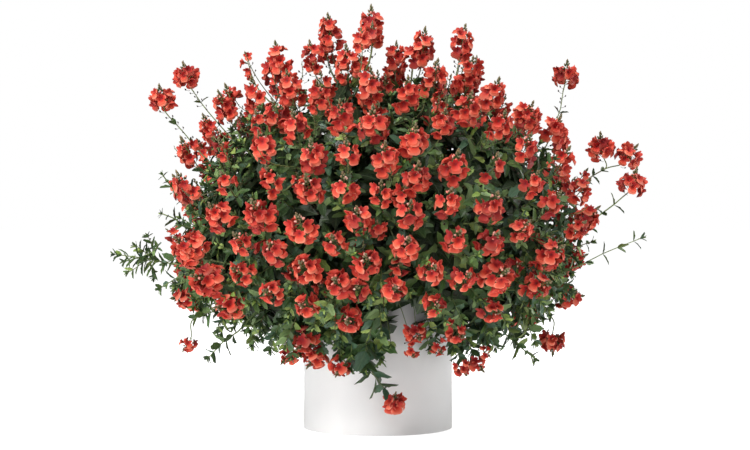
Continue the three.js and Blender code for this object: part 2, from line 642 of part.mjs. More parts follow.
/** The pot: a plain cylinder with a rounded lip, a foot ring and a middle pad, and drain holes through its floor. */
function pot() {
  const { radius, height, wall, floor, foot, pad, lip } = POT;
  const inside = radius - wall;
  const body = turned([
    [0, 0], [pad, 0], [pad + 1, foot], [radius - 10, foot], [radius - 9, 0], [radius - 2, 0], [radius, 2],
    [radius, height - lip], [radius - lip, height], [inside + 0.5, height], [inside, height - lip],
    [inside, foot + floor], [0, foot + floor],
  ]);
  let solid = toManifold(body);
  for (let i = 0; i < DRAIN.count; i++) {
    const turn = (2 * Math.PI * (i + 0.5)) / DRAIN.count;
    const [x, y] = [DRAIN.ring * Math.cos(turn), DRAIN.ring * Math.sin(turn)];
    solid = solid.subtract(toManifold(uprightRod(DRAIN.radius, x, y, -1, foot + floor + 1, DRAIN.sides)));
  }
  return fromManifold(solid);
}

/** The soil: it fills the pot, with a plain hole for each crown stem. */
function soil(holes) {
  const radius = POT.radius - POT.wall - SOIL.gap;
  const bottom = POT.foot + POT.floor + SOIL.gap;
  let solid = toManifold(turned([[0, bottom], [radius, bottom], [radius, SOIL.rim], [0, SOIL.middle]]));
  holes.forEach(({ x, y }) => {
    const rod = uprightRod(CROWN.radius + CROWN.play, x, y, SOIL.rim - CROWN.depth, SOIL.middle + 5, CROWN.holeSides);
    solid = solid.subtract(toManifold(rod));
  });
  return fromManifold(solid);
}

const moundCentre = new THREE.Vector3(0, 0, MOUND.centre);
const toPlace = ([across, up, behind]) => new THREE.Vector3(across, behind, up).multiplyScalar(MM_PER_CM);

/** The racemes of the back, on sprays spread over it by the golden section. */
function backSprays(taken, random) {
  const sprays = [];
  for (let k = 0; k < BACK.sprays; k++) {
    const rise = BACK.highest - ((BACK.highest - BACK.lowest) * (k + 0.5)) / BACK.sprays;
    const turn = Math.PI * (-0.08 + 1.16 * ((0.35 + k * 0.618034) % 1));
    const level = Math.sqrt(1 - rise * rise);
    const axis = onMound(new THREE.Vector3(
      MOUND.across * level * Math.cos(turn),
      MOUND.deep * level * Math.sin(turn),
      (rise > 0 ? MOUND.up : MOUND.down) * rise,
    ), 1);
    const out = axis.clone().sub(moundCentre).normalize();
    const first = random() * Math.PI;
    const racemes = circle(axis, out, BACK.ring, BACK.racemes, squareTo(out).applyAxisAngle(out, first))
      .map((p) => {
        const place = onMound(p.sub(moundCentre), 0.97 + 0.06 * random());
        return { place, axis: racemeAxis(place), size: BACK.size * (0.85 + 0.3 * random()) };
      })
      .filter(({ place }) => taken.every((other) => other.distanceTo(place) > BACK.spacing));
    taken.push(...racemes.map(({ place }) => place));
    if (racemes.length > 0) sprays.push(racemes);
  }
  return sprays;
}

const plant = new THREE.Group();

function addNode(name, geometry, look) {
  const mesh = new THREE.Mesh(geometry, new THREE.MeshStandardMaterial(look));
  mesh.name = name;
  plant.add(mesh);
}

const random = seededRandom(20);
const core = coreOf(random);
const stems = [];
const greens = [];
const corals = [];

const front = FRONT_SPRAYS.map((racemes) => racemes.map((raceme) => {
  const place = frontPlace(raceme);
  return { place, axis: racemeAxis(place), size: raceme[2] };
}));
const others = front.flat();
const forks = front.map((racemes) => forkOf(racemes, others));
const taken = [
  ...others.map(({ place }) => place),
  ...front.flatMap((racemes, i) => racemes.map((raceme) => forks[i].fork.clone().lerp(underOf(raceme), 0.5))),
  ...SHOOTS.flatMap(({ path }) => path.map(toPlace)),
];
const behind = backSprays(taken, random);
const back = behind.map((racemes) => withRoom(racemes, others.concat(behind.flat())));
forks.push(...back.map((racemes) => forkOf(racemes, others.concat(behind.flat()))));

[...front, ...back].forEach((racemes, i) => {
  const { fork, out } = forks[i];
  const seat = coreSeat(core, fork, out);
  stems.push({ line: new THREE.Line3(seat.point, fork), radius: SPRAY.trunk });
  racemes.forEach((raceme) => {
    stems.push({ line: new THREE.Line3(fork, underOf(raceme)), radius: RACEME.stalk });
    stems.push({ line: new THREE.Line3(raceme.place, raceme.place), radius: 0.85 * RACEME.span * raceme.size });
  });
  const number = String(i + 1 - (i < front.length ? 0 : front.length)).padStart(2, "0");
  corals.push([`spray_${i < front.length ? "front" : "back"}_${number}`, spray(seat, fork, out, racemes)]);
});

SHOOTS.forEach((data) => {
  const places = data.path.map(toPlace);
  const out = places[0].clone().sub(moundCentre).normalize();
  const seat = coreSeat(core, places[0], out);
  const grown = shoot(seat, places, data, random);
  const points = grown.curve.getSpacedPoints(6);
  const reach = 0.95 * data.leaf[0];
  points.slice(1).forEach((p, i) => stems.push({ line: new THREE.Line3(points[i], p), radius: reach }));
  greens.push([`shoot_${data.name}`, grown.body]);
  if (!data.racemes) return;
  const racemes = data.racemes.map(([across, up, size, behind]) => {
    const place = toPlace([across, up, behind]);
    const axis = place.clone().sub(grown.tipSeat.point).normalize();
    return { place, axis, size };
  });
  if (racemes.length === 1) {
    corals.push([`raceme_${data.name}`, singleRaceme(grown.tipSeat, racemes[0])]);
    return;
  }
  const along = grown.curve.getTangentAt(1);
  const fork = grown.tipSeat.point.clone().addScaledVector(along, 6);
  corals.push([`raceme_${data.name}`, spray(grown.tipSeat, fork, along, racemes)]);
});

const crownFacets = growFoliage(core, stems, random);
const holes = [];
crownFacets.forEach((facet, i) => {
  if (i % 2 === 1) {
    core.body.cap(facet);
    return;
  }
  const { x, y } = core.body.centreOf(facet);
  const bottom = SOIL.rim - CROWN.depth + SOIL.gap;
  const places = [SOIL.middle + 12, bottom].map((z) => new THREE.Vector3(x, y, z));
  core.body.cap(core.body.limb(facet, places, CROWN.radius, CROWN.sides));
  holes.push({ x, y });
});

addNode("pot", pot(), WHITE);
addNode("soil", soil(holes), EARTH);
addNode("foliage", core.body.solid(), GREEN);
greens.forEach(([name, body]) => addNode(name, body.solid(), GREEN));
corals.forEach(([name, body]) => addNode(name, body.solid(), CORAL));

export default plant;
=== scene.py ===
"""Looks of the potted twinspur: toothed leaves, lipped flowers, buds, stems, compost and a white pot."""
import logging
import math
from dataclasses import dataclass, field
from enum import Enum
from typing import Callable, Iterable, Sequence

import bpy
import numpy as np
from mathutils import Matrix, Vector, noise


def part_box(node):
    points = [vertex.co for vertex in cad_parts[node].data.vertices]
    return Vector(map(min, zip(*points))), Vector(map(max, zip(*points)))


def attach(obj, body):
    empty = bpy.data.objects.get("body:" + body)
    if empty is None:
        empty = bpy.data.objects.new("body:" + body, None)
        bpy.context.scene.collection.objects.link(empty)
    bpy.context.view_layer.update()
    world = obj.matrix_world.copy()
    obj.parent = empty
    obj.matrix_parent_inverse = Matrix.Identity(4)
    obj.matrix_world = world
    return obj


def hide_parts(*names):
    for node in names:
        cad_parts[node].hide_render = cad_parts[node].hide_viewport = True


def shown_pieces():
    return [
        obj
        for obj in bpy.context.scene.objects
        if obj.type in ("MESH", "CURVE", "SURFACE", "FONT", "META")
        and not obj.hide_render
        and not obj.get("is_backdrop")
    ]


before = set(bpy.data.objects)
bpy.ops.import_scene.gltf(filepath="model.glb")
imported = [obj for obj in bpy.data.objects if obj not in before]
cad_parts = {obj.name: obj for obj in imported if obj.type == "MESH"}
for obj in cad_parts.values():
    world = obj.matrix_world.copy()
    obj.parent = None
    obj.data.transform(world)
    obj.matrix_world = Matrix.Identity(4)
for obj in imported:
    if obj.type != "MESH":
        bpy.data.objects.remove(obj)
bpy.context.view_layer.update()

log = logging.getLogger("twinspur")

MM = 0.001                     # all sizes below are millimetres until a mesh is made
BODY = "root"
SEED = 20
TILES = 8                      # copies share 8 by 8 places of the pattern map
TILE_EDGE = 0.03               # the part of a place that stays free at its top and bottom
TILE_HALF = 0.23               # half of the width that one side of a copy fills in its place
PATTERN_MAP = "OFBake"
POT_RADIUS = 100.0
POT_HEIGHT = 188.0
GOLDEN = math.radians(137.508)
UP = np.array([0.0, 0.0, 1.0])

Array = np.ndarray
Rng = np.random.Generator
Thing = bpy.types.Object
Material = bpy.types.Material
Socket = bpy.types.NodeSocket
Colour = Place = tuple[float, float, float]

# Racemes seen from the front: across, up and size, in cm and as a share of a full raceme. A fourth
# number is how far behind the pot's axis one stands that rises past the mound's edge, and a fifth says
# how many flowers it has, as a share of the usual number.
FRONT_SPRAYS = [
    [[-20.0, 44.6, 1, 1], [-17.6, 49.4, 0.7, -1, 0.5], [-13.5, 50.4, 0.95, -3]],
    [[-16.6, 45.4, 1, -4], [-16.1, 41.4, 0.8, 0, 0.5], [-12.0, 46.4, 1], [-8.0, 45.0, 0.9]],
    [[-25.8, 37.6, 1, -8, 0.8], [-26.1, 32.9, 1.05, -6], [-20.6, 33.2, 0.85, 0, 0.5],
     [-20.9, 37.6, 0.85, 0, 0.4]],
    [[-11.2, 41.0, 1], [-15.6, 38.2, 1], [-14.6, 33.8, 0.95], [-8.8, 36.9, 1.05]],
    [[-9.4, 32.4, 1], [-4.2, 37.4, 0.9], [-4.6, 32.8, 1]],
    [[-9.0, 50.6, 0.85, -4], [-6.6, 54.0, 1, -1], [-4.2, 49.8, 1, -5], [-0.9, 54.9, 1.1, -1]],
    [[-5.0, 42.4, 1], [-0.7, 41.2, 1.2], [-1.0, 46.6, 1.05], [3.9, 45.4, 1]],
    [[2.4, 50.4, 0.9, -2], [6.2, 52.2, 0.95, -5], [7.8, 47.8, 1, -9]],
    [[11.5, 52.6, 0.95, -3], [12.4, 48.2, 1, -6], [15.8, 45.4, 1, -8]],
    [[12.2, 43.4, 1.05], [16.6, 41.0, 1], [20.3, 42.4, 0.9, -6, 2.0], [20.0, 38.0, 1]],
    [[0.9, 36.6, 1.1], [4.9, 39.0, 1.1], [8.8, 41.4, 0.9], [5.2, 34.0, 1.1]],
    [[10.4, 35.6, 1.1, 0, 0.8], [15.6, 35.4, 0.95, 0, 0.5], [20.9, 33.2, 0.9, 0, 0.4]],
    [[23.9, 40.4, 1, -7, 2.0], [25.0, 36.2, 1, -8, 0.6], [27.6, 32.2, 0.95, -5, 0.7]],
    [[0.4, 32.0, 0.85], [-2.8, 28.4, 1], [4.2, 29.2, 1], [3.9, 24.6, 1]],
    [[9.5, 30.8, 1], [15.4, 30.2, 1.05], [10.6, 25.6, 0.9], [15.4, 25.2, 1.05]],
    [[23.6, 30.4, 1, 0, 0.7], [19.6, 26.9, 0.8], [23.6, 23.5, 1.1], [27.0, 26.9, 0.8]],
    [[-21.8, 28.9, 1, 0, 1.3], [-16.2, 29.2, 1.1, 0, 1.5], [-18.6, 25.2, 0.95]],
    [[-10.4, 27.4, 1.1, 0, 1.3], [-6.0, 25.0, 0.9], [-14.2, 24.0, 0.95], [-10.0, 21.6, 1.05]],
    [[-26.0, 24.6, 1.1, 0, 1.9], [-23.6, 19.9, 1.1, 0, 1.5], [-18.8, 20.9, 0.9], [-20.6, 16.2, 1]],
    [[-5.6, 19.6, 1.05], [-1.6, 22.4, 1.1], [2.2, 18.6, 0.9]],
    [[-14.6, 18.2, 0.9], [-9.9, 16.4, 0.9], [-4.0, 14.4, 1], [-10.2, 11.4, 0.95]],
    [[7.3, 21.2, 0.9], [11.8, 20.2, 0.9], [7.7, 16.4, 0.85]],
    [[16.4, 20.6, 1.15, 0, 1.4], [21.9, 19.2, 1], [15.6, 15.6, 0.85], [10.8, 12.6, 0.8]],
]


class Lead(Enum):
    """Which axis of a master its copies point with: leaves and buds along Y, flowers face along Z."""

    ALONG = 1
    FACING = 2


class Tone(Enum):
    """Rows of the pattern map that a copy's colour is drawn from: the first row and how many rows."""

    FRESH = (0, 5)
    # Row 5: the dark brown of woody stems and capsules, and for leaves the darkest green, painted shade on
    # the inner leaves.
    DARK_WOOD_AND_PAINTED_SHADE = (5, 1)
    # Rows 6 and 7: young and yellowing leaves and young green buds; for petals the dark rows of withered
    # flowers, also painted shade on heads half hidden in the leaves.
    PALE = (6, 2)
    DEEP = (0, 3)


def unit(v: Array) -> Array:
    """Vectors at length one."""
    return v / np.maximum(np.linalg.norm(v, axis=-1, keepdims=True), 1e-9)


def square(v: Array, along: Array) -> Array:
    """The unit part of v that stands square to a unit direction."""
    return unit(v - (v * along).sum(-1, keepdims=True) * along)


def any_square(along: Array) -> Array:
    """Some direction square to one unit direction."""
    return square(UP if abs(along[2]) < 0.9 else np.array([1.0, 0.0, 0.0]), along)


def from_cm(across: float, up: float, behind: float) -> Array:
    """The point in millimetres at a place in centimetres: to the right, above the ground and behind."""
    return np.array([across, behind, up]) * 10


def ending(line: Array) -> Array:
    """The direction in which a line ends."""
    return unit(line[-1] - line[-2])


def round_about(way: Array, turn: float) -> Array:
    """The direction square to one direction, at an angle round it."""
    side = any_square(way)
    return side * math.cos(turn) + np.cross(way, side) * math.sin(turn)


def bezier(points: Sequence[Array], count: int) -> Array:
    """Points along a curve with four control points.

    Args:
        points: the four control points.
        count: how many points to give.

    Returns:
        Points as rows, from the first end to the last.
    """
    t = np.linspace(0, 1, count)[:, None]
    a, b, c, d = points
    return (1 - t) ** 3 * a + 3 * (1 - t) ** 2 * t * b + 3 * (1 - t) * t**2 * c + t**3 * d


def spline(points: Array, count: int) -> Array:
    """Points along a smooth curve through the given ones, as rows.

    Args:
        points: the places that the curve passes.
        count: how many points to give.

    Returns:
        Points as rows, evenly spread over the stretches.
    """
    ends = np.vstack([2 * points[0] - points[1], points, 2 * points[-1] - points[-2]])
    out = []
    for at in np.linspace(0, len(points) - 1, count):
        i = min(int(at), len(points) - 2)
        t = at - i
        p, q, r, s = ends[i : i + 4]
        out.append(0.5 * (2 * q + (r - p) * t + (2 * p - 5 * q + 4 * r - s) * t**2
                          + (3 * q - p - 3 * r + s) * t**3))
    return np.array(out)


@dataclass(frozen=True)
class Mound:
    """The rounded form that the plant has grown to, in millimetres."""

    centre: float = 250.0
    across: float = 285.0
    deep: float = 268.0
    up: float = 240.0
    down: float = 152.0
    power: float = 2.3
    eye: Place = (0.0, -2500.0, 310.0)

    @property
    def middle(self) -> Array:
        """The mound's centre as a point."""
        return np.array([0.0, 0.0, self.centre])

    def level(self, p: Array) -> Array:
        """How far out points lie, as a share of the mound's size in their direction.

        Args:
            p: the points, as rows, or one point.

        Returns:
            One level for each point.
        """
        d = np.asarray(p, float) - self.middle
        tall = np.where(d[..., 2] > 0, self.up, self.down)
        parts = (abs(d[..., 0] / self.across) ** self.power + abs(d[..., 1] / self.deep) ** self.power
                 + abs(d[..., 2] / tall) ** self.power)
        return parts ** (1 / self.power)

    def on(self, direction: Array, share: float) -> Array:
        """The point in a direction from the centre at a share of the mound's size."""
        way = unit(np.asarray(direction, float))
        return way * share / self.level(way + self.middle) + self.middle

    def out(self, p: Array) -> Array:
        """The unit direction from the centre to a point."""
        return unit(np.asarray(p, float) - self.middle)

    def toward(self, rise: Array, turn: Array) -> Array:
        """A direction from the centre, as the mound's size draws it out.

        Args:
            rise: its height on a ball of radius 1.
            turn: its angle round the pot's axis.

        Returns:
            The direction, not at length one.
        """
        level = np.sqrt(1 - rise * rise)
        tall = np.where(rise > 0, self.up, self.down)
        x, y = self.across * level * np.cos(turn), self.deep * level * np.sin(turn)
        return np.stack([x, y, tall * rise], -1)

    def leaves_reach(self, p: Array) -> float:
        """The level up to which leaves stand in a point's direction: lower on top, where stems are bare."""
        return float(np.interp(self.out(p)[..., 2], [-1, -0.3, 0, 0.5, 1], [0.98, 0.96, 0.925, 0.89, 0.87]))

    def seen_at(self, across: float, up: float, behind: float = 0.0) -> Array:
        """Where something stands that shows at this place from the front.

        Args:
            across: to the right of the axis, in cm.
            up: above the ground, in cm.
            behind: how far behind the axis it stands if it rises past the mound's edge, in cm.

        Returns:
            The point on the mound, or past its edge.
        """
        eye = np.array(self.eye)
        sight = from_cm(across, up, 0) - eye
        near, far = 0.85, 1 + behind * 10 / -eye[1]
        if self.level(eye + sight * far) >= 1:
            return eye + sight * far
        for _ in range(30):
            half = (near + far) / 2
            near, far = (half, far) if self.level(eye + sight * half) > 1 else (near, half)
        return eye + sight * far


MOUND = Mound()


class Draws:
    """The even draws from 0 to 1 that also place the racemes of the solids' back."""

    def __init__(self, seed: int, skip: int) -> None:
        """Starts the draws.

        Args:
            seed: the first state.
            skip: how many draws are used before these.
        """
        self.state = seed
        for _ in range(skip):
            self()

    def __call__(self) -> float:
        """The next draw."""
        self.state = (self.state * 1664525 + 1013904223) % 2**32
        return self.state / 2**32


# Meshes: masters that are modelled once, and batches of copies.


def select(*obs: Thing) -> None:
    """Selects only some objects and makes the last one active.

    Args:
        obs: the objects, or none.
    """
    bpy.ops.object.select_all(action="DESELECT")
    for ob in obs:
        ob.select_set(True)
        bpy.context.view_layer.objects.active = ob


def put_in_scene(name: str, data: bpy.types.ID) -> Thing:
    """A new object in the scene.

    Args:
        name: its name.
        data: its mesh, lamp or camera.

    Returns:
        The object.
    """
    ob = bpy.data.objects.new(name, data)
    bpy.context.scene.collection.objects.link(ob)
    return ob


class Bench:
    """One object on the workbench, shaped in edit mode."""

    def __init__(self, add: Callable[..., object], **settings: object) -> None:
        """Adds a primitive and keeps it.

        Args:
            add: the primitive's operator.
            settings: what the operator is given.
        """
        select()
        add(**settings)
        self.ob = bpy.context.active_object

    def edit(self) -> None:
        """Goes into edit mode with all selected."""
        bpy.ops.object.mode_set(mode="EDIT")
        bpy.ops.mesh.select_mode(type="VERT")
        bpy.ops.mesh.select_all(action="SELECT")

    def leave(self) -> None:
        """Goes back to object mode."""
        bpy.ops.object.mode_set(mode="OBJECT")

    def heal(self, merge: float = 0.0) -> None:
        """Turns every face outwards, and leaves edit mode.

        Args:
            merge: points nearer to each other than this are merged first.
        """
        self.edit()
        if merge:
            bpy.ops.mesh.remove_doubles(threshold=merge)
        bpy.ops.mesh.normals_make_consistent(inside=False)
        self.leave()

    def pick_faces(self, test: Callable[[Vector, Vector], bool]) -> None:
        """Selects the faces whose middle and normal pass a test, and stays in edit mode.

        Args:
            test: is given a face's middle and its normal.
        """
        self.edit()
        bpy.ops.mesh.select_mode(type="FACE")
        bpy.ops.mesh.select_all(action="DESELECT")
        self.leave()
        for face in self.ob.data.polygons:
            face.select = test(face.center, face.normal)
        bpy.ops.object.mode_set(mode="EDIT")

    def points(self) -> Array:
        """The vertices as rows."""
        return np.array([v.co for v in self.ob.data.vertices])

    def set_points(self, points: Array) -> None:
        """Moves the vertices."""
        self.ob.data.vertices.foreach_set("co", points.ravel())
        self.ob.data.update()

    def close_under(self, is_rim: Callable[[Array], Array], drop: Callable[[Array], Array]) -> None:
        """Gives a sheet an underside that meets it at the rim, so that it is a thin closed body.

        Args:
            is_rim: tells which points lie on the rim.
            drop: moves the underside's other points.
        """
        self.edit()
        bpy.ops.mesh.duplicate()
        bpy.ops.mesh.flip_normals()
        self.leave()
        me = self.ob.data
        new = np.array([v.select for v in me.vertices])
        for face in me.polygons:
            face.material_index = int(face.select)
        points = self.points()
        moved = new & ~is_rim(points)
        points[moved] = drop(points[moved])
        self.set_points(points)
        self.edit()
        bpy.ops.mesh.remove_doubles(threshold=1e-4)
        self.leave()

    def modify(self, kind: str, **settings: object) -> None:
        """Adds a modifier and applies it.

        Args:
            kind: the modifier's type.
            settings: its values.
        """
        select(self.ob)
        modifier = self.ob.modifiers.new("shape", kind)
        for name, value in settings.items():
            setattr(modifier, name, value)
        bpy.ops.object.modifier_apply(modifier="shape")

    def hand_over(self, name: str, finish: Material, slot: str, angle: float) -> Thing:
        """Names and dresses the piece, which stands for the solid named by slot.

        Args:
            name: its name.
            finish: its material.
            slot: the name of the solid that the piece stands for.
            angle: faces that meet flatter than this, in degrees, are shaded as one surface.

        Returns:
            The finished object.
        """
        self.ob.name = self.ob.data.name = name
        self.ob.data.materials.append(finish)
        finish_piece(self.ob, [slot], angle)
        return self.ob


@dataclass
class Master:
    """A shape that is modelled once: points in millimetres, faces, and its part of the pattern map."""

    points: Array
    corners: Array
    starts: Array
    places: Array
    finish: str

    @classmethod
    def take(cls, bench: Bench, finish: str, place: Callable[[Array, Array], Array],
             before: Array | None = None) -> "Master":
        """Reads the shape off the bench and clears the bench.

        Args:
            bench: holds the finished shape.
            finish: the name of its finish.
            place: gives the pattern places of corners from their points and whether they are underneath.
            before: the points that place is given, if not the finished ones.

        Returns:
            The master.
        """
        me = bench.ob.data
        points = bench.points()
        corners = np.array([loop.vertex_index for loop in me.loops])
        faces = [(f.loop_start, f.loop_total, f.material_index) for f in me.polygons]
        starts, totals, under = np.array(faces).T
        known = points if before is None else before
        places = place(known[corners], np.repeat(under, totals) > 0)
        bpy.data.objects.remove(bench.ob, do_unlink=True)
        bpy.data.meshes.remove(me)
        return cls(points, corners, starts, places.clip(0.02, 0.98), finish)

    def joined(self, *others: "Master") -> "Master":
        """This shape with others in the same finish.

        Args:
            others: the shapes that are added.

        Returns:
            The joined shape.
        """
        every = [self, *others]
        first = np.cumsum([0] + [len(m.points) for m in every[:-1]])
        loop = np.cumsum([0] + [len(m.corners) for m in every[:-1]])
        return Master(
            np.vstack([m.points for m in every]),
            np.concatenate([m.corners + i for m, i in zip(every, first)]),
            np.concatenate([m.starts + i for m, i in zip(every, loop)]),
            np.vstack([m.places for m in every]),
            self.finish,
        )


@dataclass
class Batch:
    """Copies of masters that become one piece."""

    name: str
    sets: list[tuple[Master, Array, Array]] = field(default_factory=list)

    def add(self, master: Master, points: Array, tiles: Array) -> None:
        """Adds copies of a master: the points of each, and its column and row in the pattern map."""
        if len(points):
            self.sets.append((master, points, tiles))

    def build(self, finishes: dict[str, Material], slot: str, *nodes: str) -> Thing:
        """Makes the piece's mesh, with its materials, and puts it on the plant's body.

        Args:
            finishes: materials by name.
            slot: not used.
            nodes: the solids that the piece stands for.

        Returns:
            The finished object.
        """
        co, corners, starts, places, looks = [], [], [], [], []
        used = sorted({m.finish for m, _, _ in self.sets})
        points = loops = 0
        for master, copies, tiles in self.sets:
            n, v, _ = copies.shape
            co.append(copies.reshape(-1, 3))
            step = np.arange(n)[:, None]
            corners.append((master.corners + points + step * v).ravel())
            starts.append((master.starts + loops + step * len(master.corners)).ravel())
            places.append(((master.places + tiles[:, None]) / TILES).reshape(-1, 2))
            looks.append(np.full(n * len(master.starts), used.index(master.finish)))
            points += n * v
            loops += n * len(master.corners)
        me = bpy.data.meshes.new(self.name)
        me.vertices.add(points)
        me.vertices.foreach_set("co", (np.vstack(co) * MM).ravel())
        me.loops.add(loops)
        me.loops.foreach_set("vertex_index", np.concatenate(corners))
        me.polygons.add(sum(map(len, starts)))
        me.polygons.foreach_set("loop_start", np.concatenate(starts))
        me.polygons.foreach_set("material_index", np.concatenate(looks))
        me.uv_layers.new(name=PATTERN_MAP).uv.foreach_set("vector", np.vstack(places).ravel())
        me.update(calc_edges=True)
        for name in used:
            me.materials.append(finishes[name])
        ob = put_in_scene(self.name, me)
        finish_piece(ob, nodes)
        return ob


def finish_piece(ob: Thing, nodes: Iterable[str], angle: float = 62.0) -> None:
    """Smooths a piece, puts it on the body, hides the solids that it stands for and logs its triangles.

    Args:
        ob: the piece.
        nodes: the solids that it replaces.
        angle: faces that meet flatter than this, in degrees, are shaded as one surface.
    """
    select(ob)
    bpy.ops.object.shade_smooth_by_angle(angle=math.radians(angle))
    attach(ob, BODY)
    nodes = tuple(nodes)
    if nodes:
        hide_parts(*nodes)
    faces = sum(len(p.vertices) - 2 for p in ob.data.polygons)
    log.info("%s: %d triangles", ob.name, faces)


def draw_tiles(tones: Sequence[Tone], rng: Rng) -> Array:
    """Draws each copy's place in the pattern map.

    Args:
        tones: the copies' tones.
        rng: the draws.

    Returns:
        A column and a row for each copy.
    """
    first, span = np.array([tone.value for tone in tones]).T
    row = first + (rng.random(len(first)) * span).astype(int)
    return np.stack([rng.integers(0, TILES, len(row)), row], 1)


@dataclass
class Pile:
    """Copies of one kind of shape, gathered before they are placed."""

    masters: Sequence[Master]
    lead: Lead
    rng: Rng
    rows: list[tuple] = field(default_factory=list)

    def put(self, at: Array, lead: Array, hint: Array, size: Sequence[float],
            tone: Tone = Tone.FRESH) -> None:
        """Gathers a copy: its origin, the way it leads, its other axis roughly, its scale and its tone."""
        self.rows.append((at, lead, hint, size, tone))

    def into(self, batch: Batch) -> None:
        """Places the gathered copies in a batch.

        Args:
            batch: takes the copies.
        """
        if not self.rows:
            return
        at, lead, hint, size = (np.array([r[i] for r in self.rows], float) for i in range(4))
        lead = unit(lead)
        other = square(hint, lead)
        y, z = (lead, other) if self.lead is Lead.ALONG else (other, lead)
        axes = np.stack([np.cross(y, z), y, z], 1) * size[:, :, None]
        tiles = draw_tiles([r[4] for r in self.rows], self.rng)
        which = self.rng.integers(0, len(self.masters), len(tiles))
        for i, master in enumerate(self.masters):
            mine = which == i
            points = np.einsum("vk,nkj->nvj", master.points, axes[mine]) + at[mine][:, None]
            batch.add(master, points, tiles[mine])


@dataclass
class Rods:
    """Round stems that are bent along their paths. Each has as many points as the master has rings."""

    master: Master
    rings: int
    rng: Rng
    rows: list[tuple] = field(default_factory=list)

    def put(self, path: Array, thick: Sequence[float], tone: Tone = Tone.FRESH) -> None:
        """Gathers one stem.

        Args:
            path: its middle line, as rows.
            thick: its radius at the ends, or at every point.
            tone: which rows of the pattern map it may take.
        """
        at = np.linspace(0, 1, self.rings)
        if len(path) != self.rings:
            given = np.linspace(0, 1, len(path))
            path = np.stack([np.interp(at, given, path[:, k]) for k in range(3)], 1)
        radius = np.interp(at, np.linspace(0, 1, len(thick)), thick)
        self.rows.append((path, radius, tone))

    def into(self, batch: Batch) -> None:
        """Places the gathered stems in a batch.

        Args:
            batch: takes the stems.
        """
        if not self.rows:
            return
        path = np.array([r[0] for r in self.rows])
        radius = np.array([r[1] for r in self.rows])
        way = unit(np.gradient(path, axis=1))
        side = np.empty_like(way)
        side[:, 0] = np.array([any_square(w) for w in way[:, 0]])
        for k in range(1, self.rings):
            side[:, k] = square(side[:, k - 1], way[:, k])
        other = np.cross(way, side)
        ring = np.rint(self.master.points[:, 2] * (self.rings - 1)).astype(int)
        flat = self.master.points[:, :2]
        points = path[:, ring] + radius[:, ring, None] * (
            flat[None, :, :1] * side[:, ring] + flat[None, :, 1:] * other[:, ring])
        batch.add(self.master, points, draw_tiles([r[2] for r in self.rows], self.rng))


# Masters of the plant's small parts.


def two_sided(points: Array, under: Array, reach: float, low: float = 0.0, high: float = 1.0) -> Array:
    """Pattern places of a thin body: its face in the left half of its tile and its back in the right.

    Args:
        points: the corners.
        under: which corners belong to the back.
        reach: half of the width that fills the half tile.
        low: the y that lies at the tile's bottom.
        high: the y that lies at its top.

    Returns:
        Places from 0 to 1, as rows.
    """
    u = 0.25 + TILE_HALF * points[:, 0] / reach + 0.5 * under
    v = TILE_EDGE + (1 - 2 * TILE_EDGE) * (points[:, 1] - low) / (high - low)
    return np.stack([u, v], 1)


@dataclass(frozen=True)
class LeafShape:
    """A toothed leaf of length 1 along Y, with its upper face towards Z."""

    segments: int
    half_width: float
    tooth: float
    fold: float
    droop: float
    twist: float
    thick: float = 0.022

    def outline(self, t: Array) -> Array:
        """Half the width at shares of the length: broadest below the middle, with a pointed tip."""
        body = np.sin(np.pi * t.clip(0, 1) ** 0.72) ** 0.8
        return self.half_width * body * (1 - 0.35 * t**3)

    def master(self) -> Master:
        """Models the leaf from a grid of two strips that is closed underneath.

        Returns:
            The leaf, of length 1 along Y.
        """
        n = self.segments
        bench = Bench(bpy.ops.mesh.primitive_grid_add, x_subdivisions=2, y_subdivisions=n, size=2)
        p = bench.points()
        side, t = np.rint(p[:, 0]), (p[:, 1] + 1) / 2
        row = np.rint(t * n).astype(int)
        toothed = (row % 2 == 0) & (row > 0) & (row < n) & (n > 4)
        half = self.outline(t) + self.tooth * toothed * (side != 0)
        along = t + np.where(toothed & (side != 0), 0.35 / n, 0)
        x = side * half
        z = self.fold * abs(x) - self.droop * t**1.8 + self.twist * x * t
        bench.set_points(np.stack([x, along * (1 - 0.25 * self.droop * t), z], 1))
        bench.edit()
        bpy.ops.mesh.remove_doubles(threshold=1e-4)
        bench.leave()
        tops = bench.points()
        midrib = (abs(tops[:, 0]) < 1e-6) & (tops[:, 1] > 1e-4) & (tops[:, 1] < tops[:, 1].max() - 1e-4)

        def is_rim(q: Array) -> Array:
            """Points that lie on the outline, which is all but the midrib, found by their place."""
            return np.linalg.norm(q[:, None] - tops[~midrib][None], axis=2).min(1) < 1e-6

        bench.close_under(is_rim, lambda q: q - np.array([0, 0, self.thick]))
        return Master.take(bench, "leaf", lambda q, under: two_sided(q, under, self.half_width * 1.15))


